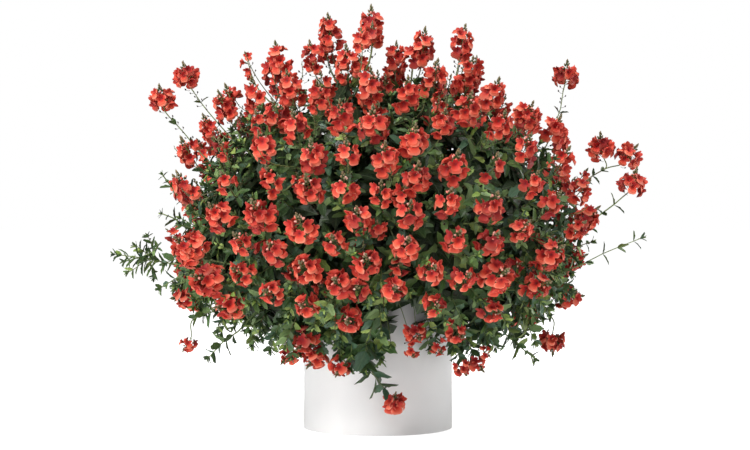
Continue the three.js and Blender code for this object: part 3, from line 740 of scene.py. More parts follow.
@dataclass(frozen=True)
class CorollaShape:
    """A flower's lobes, facing Z with its lip towards -Y, for a radius of 1."""

    sectors: int = 20
    rings: tuple[float, ...] = (0.74, 0.36)
    back_rings: tuple[float, ...] = (0.5,)
    cup: float = 0.34
    lip_curl: float = 0.26
    hood: float = 0.24
    throat: float = 0.2
    spread: float = 1.0
    spurs: bool = True

    LOBES = ([0, 18, 36, 54, 72, 90, 108, 126, 144, 162, 180],
             [1.16, 1.22, 1.20, 1.02, 0.60, 0.98, 1.08, 0.95, 0.60, 0.88, 0.72])

    def master(self) -> Master:
        """Models the lobes from a circle that is drawn in, ring by ring, to the throat and at the back.

        Returns:
            The flower, facing along Z.
        """
        bench = Bench(bpy.ops.mesh.primitive_circle_add, vertices=self.sectors, radius=1, fill_type="NOTHING")
        bench.edit()
        self.draw_in(self.rings, 0.0)
        bpy.ops.mesh.select_all(action="DESELECT")
        bpy.ops.mesh.select_non_manifold()
        self.draw_in(self.back_rings, -1.0)
        bench.heal()
        flat = bench.points()
        flat[:, 2] = -abs(flat[:, 2])
        for face in bench.ob.data.polygons:
            face.material_index = int(abs(face.center.z) > 0.1)
        bench.set_points(self.shaped(flat))
        lobes = Master.take(bench, "petal", self.placed, flat)
        return lobes.joined(self.spur(-1), self.spur(1)) if self.spurs else lobes

    def draw_in(self, rings: Sequence[float], height: float) -> None:
        """Draws the selected ring in to further rings and closes the last one round a middle point.

        Args:
            rings: the rings' radii.
            height: how far the first one is moved along Z.
        """
        last = 1.0
        for ring in rings:
            bpy.ops.mesh.extrude_region_move(TRANSFORM_OT_translate={"value": (0, 0, height)})
            bpy.ops.transform.resize(value=(ring / last, ring / last, 1), center_override=(0, 0, 0))
            last, height = ring, 0.0
        bpy.ops.mesh.edge_face_add()
        bpy.ops.mesh.poke(offset=0.0 if rings else -1.0)

    def shaped(self, flat: Array) -> Array:
        """The lobes' form over the flat rings; the rings below are the back.

        Args:
            flat: the flat points.

        Returns:
            The shaped points.
        """
        rho = np.hypot(flat[:, 0], flat[:, 1]).clip(0, 1)
        theta = np.degrees(np.arctan2(flat[:, 0], -flat[:, 1]))
        reach = np.interp(abs(theta), *self.LOBES)
        radius = rho * (1 + (reach - 1) * rho**1.3) * self.spread
        lip = np.cos(np.radians(theta) / 2).clip(0) ** 2
        side = np.exp(-(((abs(theta) - 104) / 26) ** 2))
        lobe = np.interp(abs(theta), [0, 40, 72, 106, 144, 162, 180], [1, 0.8, -1, 1, -1, 0.6, -0.8])
        bowl = -self.cup * (1 - rho) ** 1.3
        puff = np.interp(rho, [0, 0.36, 0.74, 1], [0, 0.03, 0.10, 0.0]) + 0.09 * lobe * rho**1.5
        curl = self.lip_curl * lip * np.interp(rho, [0, 0.36, 0.74, 1], [0, 0.45, 0.8, -0.25])
        lean = self.hood * (1 - lip) * rho**2 + 0.14 * side * rho**2
        z = bowl + puff + curl + lean
        z = np.where(flat[:, 2] < -0.5, z - 0.05 - 0.34 * (1 - rho) ** 1.4, z)
        angle = np.radians(theta)
        high = self.throat * (1 - rho) ** 0.8
        return np.stack([radius * np.sin(angle), high - radius * np.cos(angle), z], 1)

    def placed(self, points: Array, under: Array) -> Array:
        """Pattern places: the face on the left of the tile and the back on the right, seen from the front."""
        return two_sided(points, under, 1.0, -1.0, 1.0)

    def spur(self, side: int) -> Master:
        """One spur: a cone that points back and down from beside the throat.

        Args:
            side: 1 for one side and -1 for the other.

        Returns:
            The spur.
        """
        bench = Bench(bpy.ops.mesh.primitive_cone_add, vertices=4, radius1=0.17, radius2=0.04, depth=0.62)
        bench.edit()
        bpy.ops.transform.rotate(value=math.radians(150), orient_axis="X", center_override=(0, 0, 0))
        bpy.ops.transform.translate(value=(0.26 * side, -0.12, -0.5))
        bench.leave()
        return Master.take(bench, "petal", lambda q, under: self.placed(q, np.ones(len(q), bool)))


def rod_master(rings: int, sides: int) -> Master:
    """A straight rod of height and radius 1, grown ring by ring.

    Args:
        rings: how many rings of points it has.
        sides: its corners.

    Returns:
        The master, in the stems' finish.
    """
    bench = Bench(bpy.ops.mesh.primitive_circle_add, vertices=sides, radius=1, fill_type="NGON")
    bench.edit()
    for _ in range(rings - 1):
        bpy.ops.mesh.extrude_region_move(TRANSFORM_OT_translate={"value": (0, 0, 1 / (rings - 1))})
    bench.heal()

    def place(q: Array, _: Array) -> Array:
        """Round the rod across the tile, and along it up the tile."""
        return np.stack([abs(np.arctan2(q[:, 1], q[:, 0])) / math.pi, q[:, 2]], 1)

    return Master.take(bench, "stem", place)


def bud_master(finish: str, sides: int, rings: int, neck: float) -> Master:
    """A drop that points along Y, of length 1 and half width about 0.5.

    Args:
        finish: the name of its finish.
        sides: its corners.
        rings: its rings.
        neck: how much its tip is drawn in.

    Returns:
        The master.
    """
    bench = Bench(bpy.ops.mesh.primitive_uv_sphere_add, segments=sides, ring_count=rings, radius=0.5)
    bench.edit()
    bpy.ops.transform.rotate(value=math.radians(90), orient_axis="X", center_override=(0, 0, 0))
    bench.leave()
    p = bench.points()
    p[:, 1] += 0.5
    p[:, [0, 2]] *= 1 - neck * p[:, 1:2].clip(0, 1) ** 1.5
    bench.set_points(p)
    bench.heal()

    def place(q: Array, _: Array) -> Array:
        """Round the drop across the tile, and along it up the tile."""
        return np.stack([abs(np.arctan2(q[:, 2], q[:, 0])) / math.pi, q[:, 1]], 1)

    return Master.take(bench, finish, place)


def calyx_master() -> Master:
    """Five pointed sepals that hold a flower, opening along Z, of radius 1.

    Returns:
        The calyx.
    """
    bench = Bench(bpy.ops.mesh.primitive_cone_add, vertices=5, radius1=0.3, radius2=1, depth=0.9,
                  end_fill_type="TRIFAN")
    p = bench.points()
    middle = (p[:, 2] > 0) & (np.hypot(p[:, 0], p[:, 1]) < 0.1)
    p[middle, 2] = 0.0
    bench.set_points(p)

    def place(q: Array, _: Array) -> Array:
        """Low in the tile, where buds are green."""
        return np.stack([0.5 + 0.4 * q[:, 0], 0.1 + 0.2 * (q[:, 2] + 0.5)], 1)

    return Master.take(bench, "bud", place)


class Kit:
    """All masters of the plant."""

    def __init__(self) -> None:
        """Models every master once."""
        self.leaves = [LeafShape(*sizes).master() for sizes in (
            (6, 0.22, 0.035, 0.30, 0.18, 0.0), (5, 0.19, 0.030, 0.18, 0.34, 0.35),
            (5, 0.24, 0.040, 0.40, 0.06, -0.3))]
        self.inner = [LeafShape(2, 0.34, 0.0, 0.25, 0.2, 0.0).master()]
        self.flowers = [
            CorollaShape().master(),
            CorollaShape(cup=0.42, lip_curl=0.36, hood=0.36, spread=0.96).master(),
            CorollaShape(cup=0.30, lip_curl=0.18, hood=0.12, spread=1.02).master(),
        ]
        self.far_flowers = [CorollaShape(20, (0.5,), (), hood=hood, spurs=False).master()
                            for hood in (0.24, 0.4)]
        self.bud = bud_master("bud", 5, 3, 0.55)
        self.capsule = bud_master("stem", 4, 3, 0.75)
        self.calyx = calyx_master()
        self.stem, self.twig, self.pedicel = rod_master(10, 4), rod_master(5, 4), rod_master(3, 3)


# The plant's growth.


class Sprig:
    """Everything that grows in one piece: its stems, leaves, flowers and buds."""

    def __init__(self, name: str, kit: Kit, seed: int) -> None:
        """Starts an empty piece.

        Args:
            name: the piece's name.
            kit: the masters.
            seed: seeds its draws.
        """
        self.name = name
        self.rng = np.random.default_rng((SEED, seed))
        self.stems, self.twigs, self.pedicels = (
            Rods(m, rings, self.rng) for m, rings in ((kit.stem, 10), (kit.twig, 5), (kit.pedicel, 3)))
        self.leaves, self.inner, self.buds, self.capsules = (
            Pile(m, Lead.ALONG, self.rng) for m in (kit.leaves, kit.inner, [kit.bud], [kit.capsule]))
        self.flowers, self.far_flowers, self.calyces = (
            Pile(m, Lead.FACING, self.rng) for m in (kit.flowers, kit.far_flowers, [kit.calyx]))

    def shake(self, amount: float) -> Array:
        """A small random vector."""
        return self.rng.normal(0, amount, 3)

    def build(self, finishes: dict[str, Material], slot: str, *nodes: str) -> Thing:
        """Makes the piece.

        Args:
            finishes: the materials by name.
            slot: passed on to the batch, which doesn't use it.
            nodes: the nodes that the piece replaces.

        Returns:
            The finished object.
        """
        batch = Batch(self.name)
        for pile in (self.stems, self.twigs, self.pedicels, self.leaves, self.inner, self.flowers,
                     self.far_flowers, self.buds, self.capsules, self.calyces):
            pile.into(batch)
        return batch.build(finishes, slot, *nodes)


@dataclass(frozen=True)
class BarePatch:
    """The part of the pot's front that shows between the leaves: an oval as seen from the front."""

    across: float = 38.0
    up: float = 139.0
    half_width: float = 29.0
    half_height: float = 32.0
    behind: float = -70.0
    highest: float = 185.0

    def hidden_by(self, p: Array) -> bool:
        """Whether something at a point would hide it.

        Args:
            p: the point.

        Returns:
            True if it stands in front of the oval.
        """
        if p[1] > self.behind or p[2] > self.highest:
            return False
        _, far, high = MOUND.eye
        scale = (p[1] - far) / -far
        across, up = p[0] / scale, high - (high - p[2]) / scale
        return ((across - self.across) / self.half_width) ** 2 + ((up - self.up) / self.half_height) ** 2 < 1


BARE_PATCH = BarePatch()


def in_pot(p: Array, clear: float = 5.0) -> bool:
    """Whether a point lies in the pot, or nearer to it than a clearance."""
    return p[2] < POT_HEIGHT + clear and math.hypot(p[0], p[1]) < POT_RADIUS + clear


@dataclass
class Habit:
    """How leaves stand on a stem."""

    spacing: float = 12.0
    length: float = 25.0
    width: float = 1.0
    tip: float = 0.5
    start: float = 0.35
    detail: float = 0.79
    open_front: bool = False
    deep: bool = False

    def clothe(self, sprig: Sprig, path: Array, bare_past: float = 9.0) -> None:
        """Sets pairs of leaves along a stem, each pair square to the one before.

        Args:
            sprig: the piece that they grow in.
            path: the stem's middle line.
            bare_past: no leaves stand past this level of the mound, as a share of the leaves' reach.
        """
        rng = sprig.rng
        steps = np.linalg.norm(np.diff(path, axis=0), axis=1)
        along = np.concatenate([[0], np.cumsum(steps)])
        way = unit(np.gradient(path, axis=0))
        at = along[-1] * self.start + rng.random() * self.spacing
        turn = rng.random() * math.pi
        while at < along[-1] - 1:
            p = np.array([np.interp(at, along, path[:, k]) for k in range(3)])
            t = unit(np.array([np.interp(at, along, way[:, k]) for k in range(3)]))
            left = (along[-1] - at) / self.length
            size = self.length * min(1.0, self.tip + 0.42 * left) * (0.85 + 0.3 * rng.random())
            level = float(MOUND.level(p))
            lining = 0.64 < level < self.detail
            step = self.spacing * (0.8 + 0.4 * rng.random()) * max(0.6, min(1.0, 0.55 + 0.4 * left))
            at += step * (0.5 if lining else 1)
            turn += math.pi / 2 + rng.normal(0, 0.15)
            if in_pot(p) or level > bare_past * MOUND.leaves_reach(p):
                continue
            if level < 0.62 and rng.random() < 0.75:
                continue
            out = MOUND.out(p)
            for way_out in (1, -1):
                s = way_out * round_about(t, turn)
                lead = unit(0.5 * t + 0.8 * s + 0.12 * out - 0.12 * UP + sprig.shake(0.16))
                if lead @ out < -0.35:
                    lead = unit(lead - (lead @ out + 0.2) * out)
                tip = p + lead * size
                hides = BARE_PATCH.hidden_by(tip) or BARE_PATCH.hidden_by(p)
                if in_pot(tip, 2) or hides and (self.open_front or rng.random() < 0.97):
                    continue
                top = 0.45 * t + 0.75 * out + 0.45 * UP + sprig.shake(0.28)
                if level < self.detail:
                    # Inner leaves take the darkest green row, painted shade of the mound's inside.
                    sprig.inner.put(p, 0.2 * t + s + sprig.shake(0.2), t + 0.3 * UP + sprig.shake(0.3),
                                    (size * 1.5,) * 3, Tone.DARK_WOOD_AND_PAINTED_SHADE)
                    continue
                low_outer = p[2] < 190 and level > 0.85
                pale = rng.random() < (0.26 if low_outer and not self.deep else 0.07)
                breadth = size * self.width * (0.9 + 0.25 * rng.random())
                tone = Tone.PALE if pale else Tone.DEEP if self.deep else Tone.FRESH
                sprig.leaves.put(p, lead, top, (breadth, size, size), tone)

    def crown(self, sprig: Sprig, tip: Array, way: Array, size: float) -> None:
        """Sets the small young leaves at a stem's tip.

        Args:
            sprig: the piece.
            tip: the stem's end.
            way: where the stem points.
            size: a full leaf's length.
        """
        first = sprig.rng.random() * math.pi
        for i in range(5):
            s = round_about(way, first + i * GOLDEN)
            length = size * (0.55 - 0.06 * i)
            sprig.leaves.put(tip - way * (3 - 0.7 * i), way * (0.9 + 0.2 * i) + s * 0.75, way - s,
                             (length * 0.8, length, length), Tone.PALE if i > 2 else Tone.FRESH)


@dataclass
class Raceme:
    """A head of open flowers under a spike of buds, with spent capsules below it."""

    place: Array
    axis: Array
    size: float
    flower: float = 9.1
    reach: float = 11.8
    open_flowers: float = 9.6
    low: float = -16.0
    high: float = 4.0
    # The share of flowers in the dark petal rows: withered ones, and painted shade on heads set deep in the
    # leaves.
    withered_and_shade_share: float = 0.1
    spent: int = 5
    far: bool = False
    whole: bool = False

    @property
    def foot(self) -> Array:
        """Where its stalk joins it."""
        return self.place + self.axis * (self.low - 2) * self.size

    def grow(self, sprig: Sprig) -> None:
        """Grows the head in a piece.

        Args:
            sprig: the piece.
        """
        rng, axis, size = sprig.rng, self.axis, self.size
        out = unit(MOUND.out(self.place) * np.array([1, 1, 0.2]))
        tip = self.place + axis * 15 * size
        sprig.twigs.put(bezier([self.foot, self.place - axis * 4, self.place + axis * 4, tip], 5), (0.7, 0.4))
        count = max(3, round(self.open_flowers * size + rng.normal(0, 0.8)))
        first = rng.random() * 2 * math.pi
        for i in range(count):
            r = round_about(axis, first + i * GOLDEN + rng.normal(0, 0.2))
            share = i / max(count - 1, 1)
            height = (self.low + (self.high - self.low) * share + rng.normal(0, 1.2)) * size
            if r @ out < -0.45 and not self.whole and rng.random() < 0.6:
                continue
            stand = self.reach * size * (1.12 - 0.42 * share) * (0.9 + 0.2 * rng.random())
            base = self.place + axis * (height - 3)
            tilt = (0.95 * share - 0.45) * axis + rng.normal(-0.05, 0.2) * UP
            face = unit(0.85 * r + 0.36 * out + tilt + sprig.shake(0.18))
            at = self.place + axis * (height + 1.0) + r * stand * 0.85 + face * 2.5
            scale = self.flower * min(size, 1.06) * (0.84 + 0.22 * rng.random())
            hint = 0.8 * UP + 0.5 * axis - 0.35 * r + sprig.shake(0.14)
            pile = sprig.far_flowers if self.far else sprig.flowers
            tone = Tone.PALE if rng.random() < self.withered_and_shade_share * (1.6 - share) else Tone.FRESH
            pile.put(at, face, hint, (scale,) * 3, tone)
            heel = at - face * 0.5 * scale
            mid = (base + heel) / 2 + axis * 2.2
            sprig.pedicels.put(np.array([base, mid, heel]), (0.45, 0.5))
            if not self.far:
                cup = (0.2 * scale, 0.2 * scale, 0.28 * scale)
                sprig.calyces.put(at - face * 0.46 * scale, face, axis, cup)
        self.spike(sprig)
        self.capsules(sprig)

    def spike(self, sprig: Sprig) -> None:
        """Adds the buds at the top: the lower ones large and blushed, the upper ones a tight green cone.

        Args:
            sprig: the piece.
        """
        rng, size = sprig.rng, self.size
        count = 7 if self.far else 12
        for i in range(count):
            share = i / (count - 1)
            r = round_about(self.axis, i * GOLDEN + rng.normal(0, 0.2))
            away = 4.2 * (1 - share) ** 1.4 * size
            base = self.place + self.axis * (4 + 12.5 * share) * size
            length = (6.4 - 2.6 * share) * size * (0.85 + 0.3 * rng.random())
            lead = unit(r * (1.0 - 0.75 * share) + self.axis * (0.5 + share) + sprig.shake(0.1))
            at = base + r * away * 0.5
            tone = Tone.FRESH if share < 0.3 else Tone.PALE
            sprig.buds.put(at, lead, self.axis, (length * 0.78, length, length * 0.78), tone)
            if share < 0.35:
                sprig.pedicels.put(np.linspace(base - self.axis * 1.5, at + lead * 0.6, 3), (0.3, 0.3))

    def capsules(self, sprig: Sprig) -> None:
        """Adds spent capsules on thin stalks below the flowers.

        Args:
            sprig: the piece.
        """
        rng = sprig.rng
        for i in range(self.spent):
            r = round_about(self.axis, i * GOLDEN + rng.random())
            base = self.foot - self.axis * (2 + i * 5 + 3 * rng.random()) * self.size
            if MOUND.level(base) < 0.8:
                continue
            spent_capsule(sprig, base, r, self.axis)


def spent_capsule(sprig: Sprig, base: Array, r: Array, axis: Array) -> None:
    """A small dark capsule on its thin stalk.

    Args:
        sprig: the piece that it grows in.
        base: where its stalk leaves the stem.
        r: the direction away from the stem.
        axis: the stem's own direction.
    """
    length = 3.5 + 3 * sprig.rng.random()
    end = base + (r + axis * 0.35) * length
    sprig.pedicels.put(np.array([base, (base + end) / 2 - axis * 0.6, end]), (0.32, 0.26), Tone.DARK_WOOD_AND_PAINTED_SHADE)
    size = 2.9 + 1.1 * sprig.rng.random()
    sprig.capsules.put(end - axis * 0.4, r * 0.4 + axis, r, (size * 0.9, size, size * 0.9), Tone.DARK_WOOD_AND_PAINTED_SHADE)


@dataclass
class Crown:
    """The woody stems that stand in the soil, and the stems that leave them."""

    feet: tuple[tuple[float, float], ...] = ((36.4, -15.1), (-15.1, -36.4), (-36.4, 15.1), (15.1, 36.4))
    bottom: float = 143.4
    top: float = 196.0
    radius: float = 4.3
    over_rim: float = 235.0

    def start(self, toward: Array, rng: Rng) -> Array:
        """The top of the foot that stands nearest to a target's direction.

        Args:
            toward: the target.
            rng: the draws.

        Returns:
            A point on the foot.
        """
        flat = unit(np.array([toward[0], toward[1]]) + rng.normal(0, 12, 2))
        x, y = max(self.feet, key=lambda f: f[0] * flat[0] + f[1] * flat[1])
        jitter = rng.normal(0, 1.6, 2)
        return np.array([x * 1.1 + jitter[0], y * 1.1 + jitter[1], self.top - 8 + 6 * rng.random()])

    def path_to(self, target: Array, lead: Array, rng: Rng) -> Array:
        """A stem's line from the crown to a target, over the pot's rim where the target lies low.

        Args:
            target: where the stem ends.
            lead: the direction in which it ends.
            rng: the draws.

        Returns:
            Points as rows.
        """
        start = self.start(target, rng)
        gap = float(np.linalg.norm(target - start))
        flat = unit(np.array([target[0], target[1], 0.0]))
        if target[2] < self.over_rim:
            rise = 45 + 0.25 * (self.over_rim - target[2])
            first = start + flat * 0.33 * gap + UP * rise
            last = target - lead * 0.25 * gap + UP * 0.18 * gap
        else:
            first = start + UP * 0.34 * gap + flat * 0.16 * gap
            last = target - lead * 0.3 * gap
        sway = rng.normal(0, 5, 3)
        return bezier([start, first + sway, last + sway, target], 10)

    def grow(self, sprig: Sprig) -> None:
        """Grows the woody feet in a piece.

        Args:
            sprig: the piece.
        """
        for x, y in self.feet:
            rise = ((1.0, self.bottom), (1.0, 168.0), (1.02, 180.0), (1.1, self.top))
            line = spline(np.array([[x * k, y * k, z] for k, z in rise]), 10)
            sprig.stems.put(line, (self.radius, self.radius * 0.95, self.radius * 0.7), Tone.DARK_WOOD_AND_PAINTED_SHADE)


def raceme_axis(place: Array) -> Array:
    """The way a raceme points: out of the mound, and more upwards the higher it stands."""
    rise = 1.05 * float(np.clip(0.6 + (place[2] - MOUND.centre) / MOUND.up, 0.1, 1.1))
    return unit(MOUND.out(place) + rise * UP)


@dataclass
class Sprays:
    """The flowering sprays of the front and the back: a stem from the crown that forks to a few racemes."""

    kit: Kit
    body: "Foliage"
    habit: Habit = field(default_factory=lambda: Habit(spacing=12, length=20))

    def front(self) -> list[list[Raceme]]:
        """The front's racemes by spray."""
        return [[self.seen(*row) for row in spray] for spray in FRONT_SPRAYS]

    def seen(self, across: float, up: float, size: float, behind: float = 0.0, full: float = 1.0) -> Raceme:
        """The raceme of one row of the front's table."""
        return self.head(MOUND.seen_at(across, up, behind), size, full)

    def head(self, place: Array, size: float, full: float = 1.0) -> Raceme:
        """A spray's raceme: the ones at the top are longer and fuller.

        Args:
            place: its middle.
            size: its size, as a share of a full one.
            full: how full it is.

        Returns:
            The raceme.
        """
        tall = float(np.clip((place[2] - 400) / 60, 0, 1))
        return Raceme(place, raceme_axis(place), size, low=-16 - 12 * tall,
                      open_flowers=(9.6 + 4 * tall) * full, reach=11.8 * max(1.0, full) ** 0.7)

    def back(self) -> list[list[Raceme]]:
        """The back's racemes by spray: a ring of places round each axis, kept where the solid has one.

        Returns:
            One row of racemes for each spray.
        """
        draw = Draws(SEED, 181)
        sprays = []
        for k in range(12):
            rise = 0.95 - 1.45 * (k + 0.5) / 12
            turn = math.pi * (-0.08 + 1.16 * ((0.35 + k * 0.618034) % 1))
            axis = MOUND.on(MOUND.toward(rise, turn), 1)
            out = MOUND.out(axis)
            side = round_about(out, draw() * math.pi)
            other = np.cross(out, side)
            low, high = (np.array(v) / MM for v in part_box(f"spray_back_{k + 1:02d}"))
            racemes = []
            for i in range(5):
                a = 2 * math.pi * i / 5
                p = axis + 52 * (side * math.cos(a) + other * math.sin(a))
                place = MOUND.on(p - MOUND.middle, 0.97 + 0.06 * draw())
                size = 0.95 * (0.85 + 0.3 * draw())
                if (place > low - 3).all() and (place < high + 3).all():
                    racemes.append(self.head(place, size))
            sprays.append(racemes)
        return sprays

    def grow(self, name: str, seed: int, racemes: list[Raceme]) -> Sprig:
        """Grows one spray.

        Args:
            name: the piece's name.
            seed: seeds its draws.
            racemes: its heads.

        Returns:
            The piece, not yet built.
        """
        sprig = Sprig(name, self.kit, seed)
        middle = np.mean([r.place for r in racemes], axis=0)
        fork = MOUND.on(middle - MOUND.middle, 0.75)
        out = MOUND.out(middle)
        lead = unit(out + 0.3 * UP)
        self.body.bring(fork, lead, (2.0, 1.5), self.habit)
        for raceme in racemes:
            self.branch(sprig, fork, lead, raceme.foot, raceme.axis, (1.3, 0.75), 1.03)
            raceme.grow(sprig)
            for companion in self.companions(raceme, sprig.rng):
                self.branch(sprig, fork, lead, companion.foot, companion.axis, (1.0, 0.6), 1.0)
                companion.grow(sprig)
        for raceme in racemes:
            if raceme.place[2] > 360 or sprig.rng.random() < 0.3:
                self.spike(sprig, fork, lead, raceme)
        return sprig

    def branch(self, sprig: Sprig, fork: Array, lead: Array, foot: Array, axis: Array,
               thick: tuple[float, float], bare_past: float) -> Array:
        """Grows a leafy branch from the fork.

        Args:
            sprig: the piece.
            fork: where it starts.
            lead: the direction in which it starts.
            foot: where it ends.
            axis: the direction in which it ends.
            thick: its radius at the ends.
            bare_past: the share of the leaves' reach past which it is bare.

        Returns:
            Its middle line.
        """
        gap = float(np.linalg.norm(foot - fork))
        path = bezier([fork - lead * 4, fork + lead * 0.3 * gap, foot - axis * 0.4 * gap, foot], 10)
        sprig.stems.put(path, thick)
        self.habit.clothe(sprig, path, bare_past)
        return path

    def companions(self, raceme: Raceme, rng: Rng) -> list[Raceme]:
        """Lesser heads that stand lower beside a head, more of them near the top.

        Args:
            raceme: the head.
            rng: the draws.

        Returns:
            The lesser heads.
        """
        up, behind = raceme.place[2], raceme.place[1] > 60
        count = rng.binomial(3, 0.7 if up > 450 else 0.55 if behind and up > 230 else 0.07)
        out = MOUND.out(raceme.place)
        side = unit(np.cross(UP, out))
        found = []
        for _ in range(count):
            turn = rng.uniform(0.9, 1.1) * math.pi + rng.uniform(-0.75, 0.75) * math.pi
            way = side * math.sin(turn) + np.cross(out, side) * math.cos(turn)
            place = raceme.place + way * rng.uniform(20, 34) - out * rng.uniform(6, 34)
            if up > 450:
                beside = [rng.normal(0, 15), rng.uniform(-80, 80), rng.uniform(-52, -14)]
                place = raceme.place + np.array(beside)
            if not BARE_PATCH.hidden_by(place) and (place[0] > -150 or behind):
                size = rng.uniform(0.7, 0.95)
                # A quarter of their flowers take the dark petal rows, as withered flowers and as painted
                # shade.
                found.append(Raceme(place, raceme_axis(place), size, spent=2, withered_and_shade_share=0.25, far=True))
        return found

    def spike(self, sprig: Sprig, fork: Array, lead: Array, raceme: Raceme) -> None:
        """Grows a thin stem without flowers: spent capsules along it and green buds at its tip.

        Args:
            sprig: the piece.
            fork: where the stem leaves the spray.
            lead: the direction in which it leaves.
            raceme: the head beside it.
        """
        rng = sprig.rng
        rise = rng.uniform(-50, -24) if raceme.place[2] > 440 else rng.uniform(-14, 12)
        tip = raceme.place + rng.normal(0, 17, 3) + raceme.axis * rise
        path = self.branch(sprig, fork, lead, tip, raceme.axis, (0.9, 0.45), 1.0)
        way = ending(path)
        for i in range(9):
            r = round_about(way, i * GOLDEN)
            base = path[-1] - way * i * 3.4
            if i < 4:
                wide = 1.5 + 0.2 * i
                sprig.buds.put(base, way + r * 0.5, r, (wide, 2.8, wide), Tone.PALE)
            else:
                spent_capsule(sprig, base, r, way)


@dataclass
class Shoot:
    """A shoot that stands out of the mound: its line in cm, its leaf pairs, side stems and racemes."""

    name: str
    path: list[list[float]]
    leaf: tuple[float, float]
    spacing: float
    racemes: list[list[float]] = field(default_factory=list)
    bare: bool = False
    slender: float = 1.0
    tip_buds: int = 0
    side_ends: list[list[float]] = field(default_factory=list)

    def line(self) -> Array:
        """The shoot's middle line in millimetres, from inside the mound to its tip.

        Returns:
            The points along it.
        """
        points = np.array([from_cm(*place) for place in self.path])
        inside = MOUND.middle + (points[0] - MOUND.middle) * 0.8
        if points[0][2] < 200:
            inside[2] = max(inside[2], 205)
        return spline(np.vstack([inside, points]), 24)

    def grow(self, kit: Kit, body: "Foliage", seed: int) -> tuple[Sprig, Sprig | None]:
        """Grows the shoot, and its racemes as a piece of their own.

        Args:
            kit: the masters.
            body: the leafy body that its stem comes out of.
            seed: seeds its draws.

        Returns:
            The shoot and its racemes, if it has any.
        """
        sprig = Sprig(f"shoot_{self.name}", kit, seed)
        line = self.line()
        way = ending(line)
        body.bring(line[0], unit(line[1] - line[0]), (1.6, 1.25), Habit(spacing=12, length=24, start=0.4))
        sprig.stems.put(line, (1.25 * self.slender, 0.8 * self.slender))
        joint = int(len(line) * 0.45)
        Habit(spacing=11, length=22, start=0.02).clothe(sprig, line[:joint])
        length, width = self.leaf
        outside = Habit(self.spacing, length, width / length / 0.54, start=0.0, detail=0.0,
                        tip=0.62 if self.racemes else 0.5, deep=length > 25)
        outside.clothe(sprig, line[joint:])
        self.branch(sprig, line, outside)
        if self.bare:
            self.dots(sprig, line[int(len(line) * 0.5):])
        if self.racemes:
            return sprig, self.heads(kit, line, seed + 500)
        Habit().crown(sprig, line[-1], way, length)
        r = any_square(way)
        for i in range(self.tip_buds):
            lead = way + r * 0.3 * (-1) ** i
            sprig.buds.put(line[-1] - way * (i * 2.5 - 4), lead, r, (1.6, 3.2, 1.6), Tone.PALE)
        return sprig, None

    def branch(self, sprig: Sprig, line: Array, habit: Habit) -> None:
        """Grows the side stems.

        Args:
            sprig: the piece.
            line: the shoot's middle line.
            habit: how their leaves stand.
        """
        way = ending(line)
        for i, (across, up, behind) in enumerate(self.side_ends):
            start = line[int(len(line) * (0.5 + 0.1 * (i % 3)))]
            end = from_cm(across, up, behind)
            side = bezier([start, start + way * 12, end - unit(end - start + way * 20) * 12, end], 8)
            sprig.stems.put(side, (0.8, 0.5))
            habit.clothe(sprig, side)
            Habit().crown(sprig, end, ending(side), habit.length)

    def heads(self, kit: Kit, line: Array, seed: int) -> Sprig:
        """Grows the racemes at the shoot's end. A low one turns up and faces the front.

        Args:
            kit: the masters.
            line: the shoot's middle line.
            seed: seeds their draws.

        Returns:
            Their piece.
        """
        heads = Sprig(f"raceme_{self.name}", kit, seed)
        end, way = line[-1], ending(line)
        for across, up, size, behind in self.racemes:
            place = from_cm(across, up, behind)
            if up < 8:
                raceme = Raceme(place, unit(np.array([0.1, -0.45, 0.8])), size, flower=12.5, open_flowers=11,
                                reach=13, low=-9, high=4, spent=0)
            else:
                raceme = Raceme(place, unit(0.75 * unit(place - end) + 0.45 * UP), size, open_flowers=12.5,
                                reach=15, low=-12, whole=True, spent=2)
            foot, lean = raceme.foot, 0.35 * float(np.linalg.norm(raceme.foot - end))
            path = bezier([end - way * 3, end + way * lean, foot - raceme.axis * lean, foot], 10)
            heads.stems.put(path, (0.85, 0.7))
            raceme.grow(heads)
        return heads

    def dots(self, sprig: Sprig, line: Array) -> None:
        """Adds spent capsules along a bare stem.

        Args:
            sprig: the piece.
            line: the stem's middle line.
        """
        for i, p in enumerate(line[1:-1]):
            way = unit(line[i + 2] - line[i])
            spent_capsule(sprig, p, round_about(way, i * GOLDEN), way)


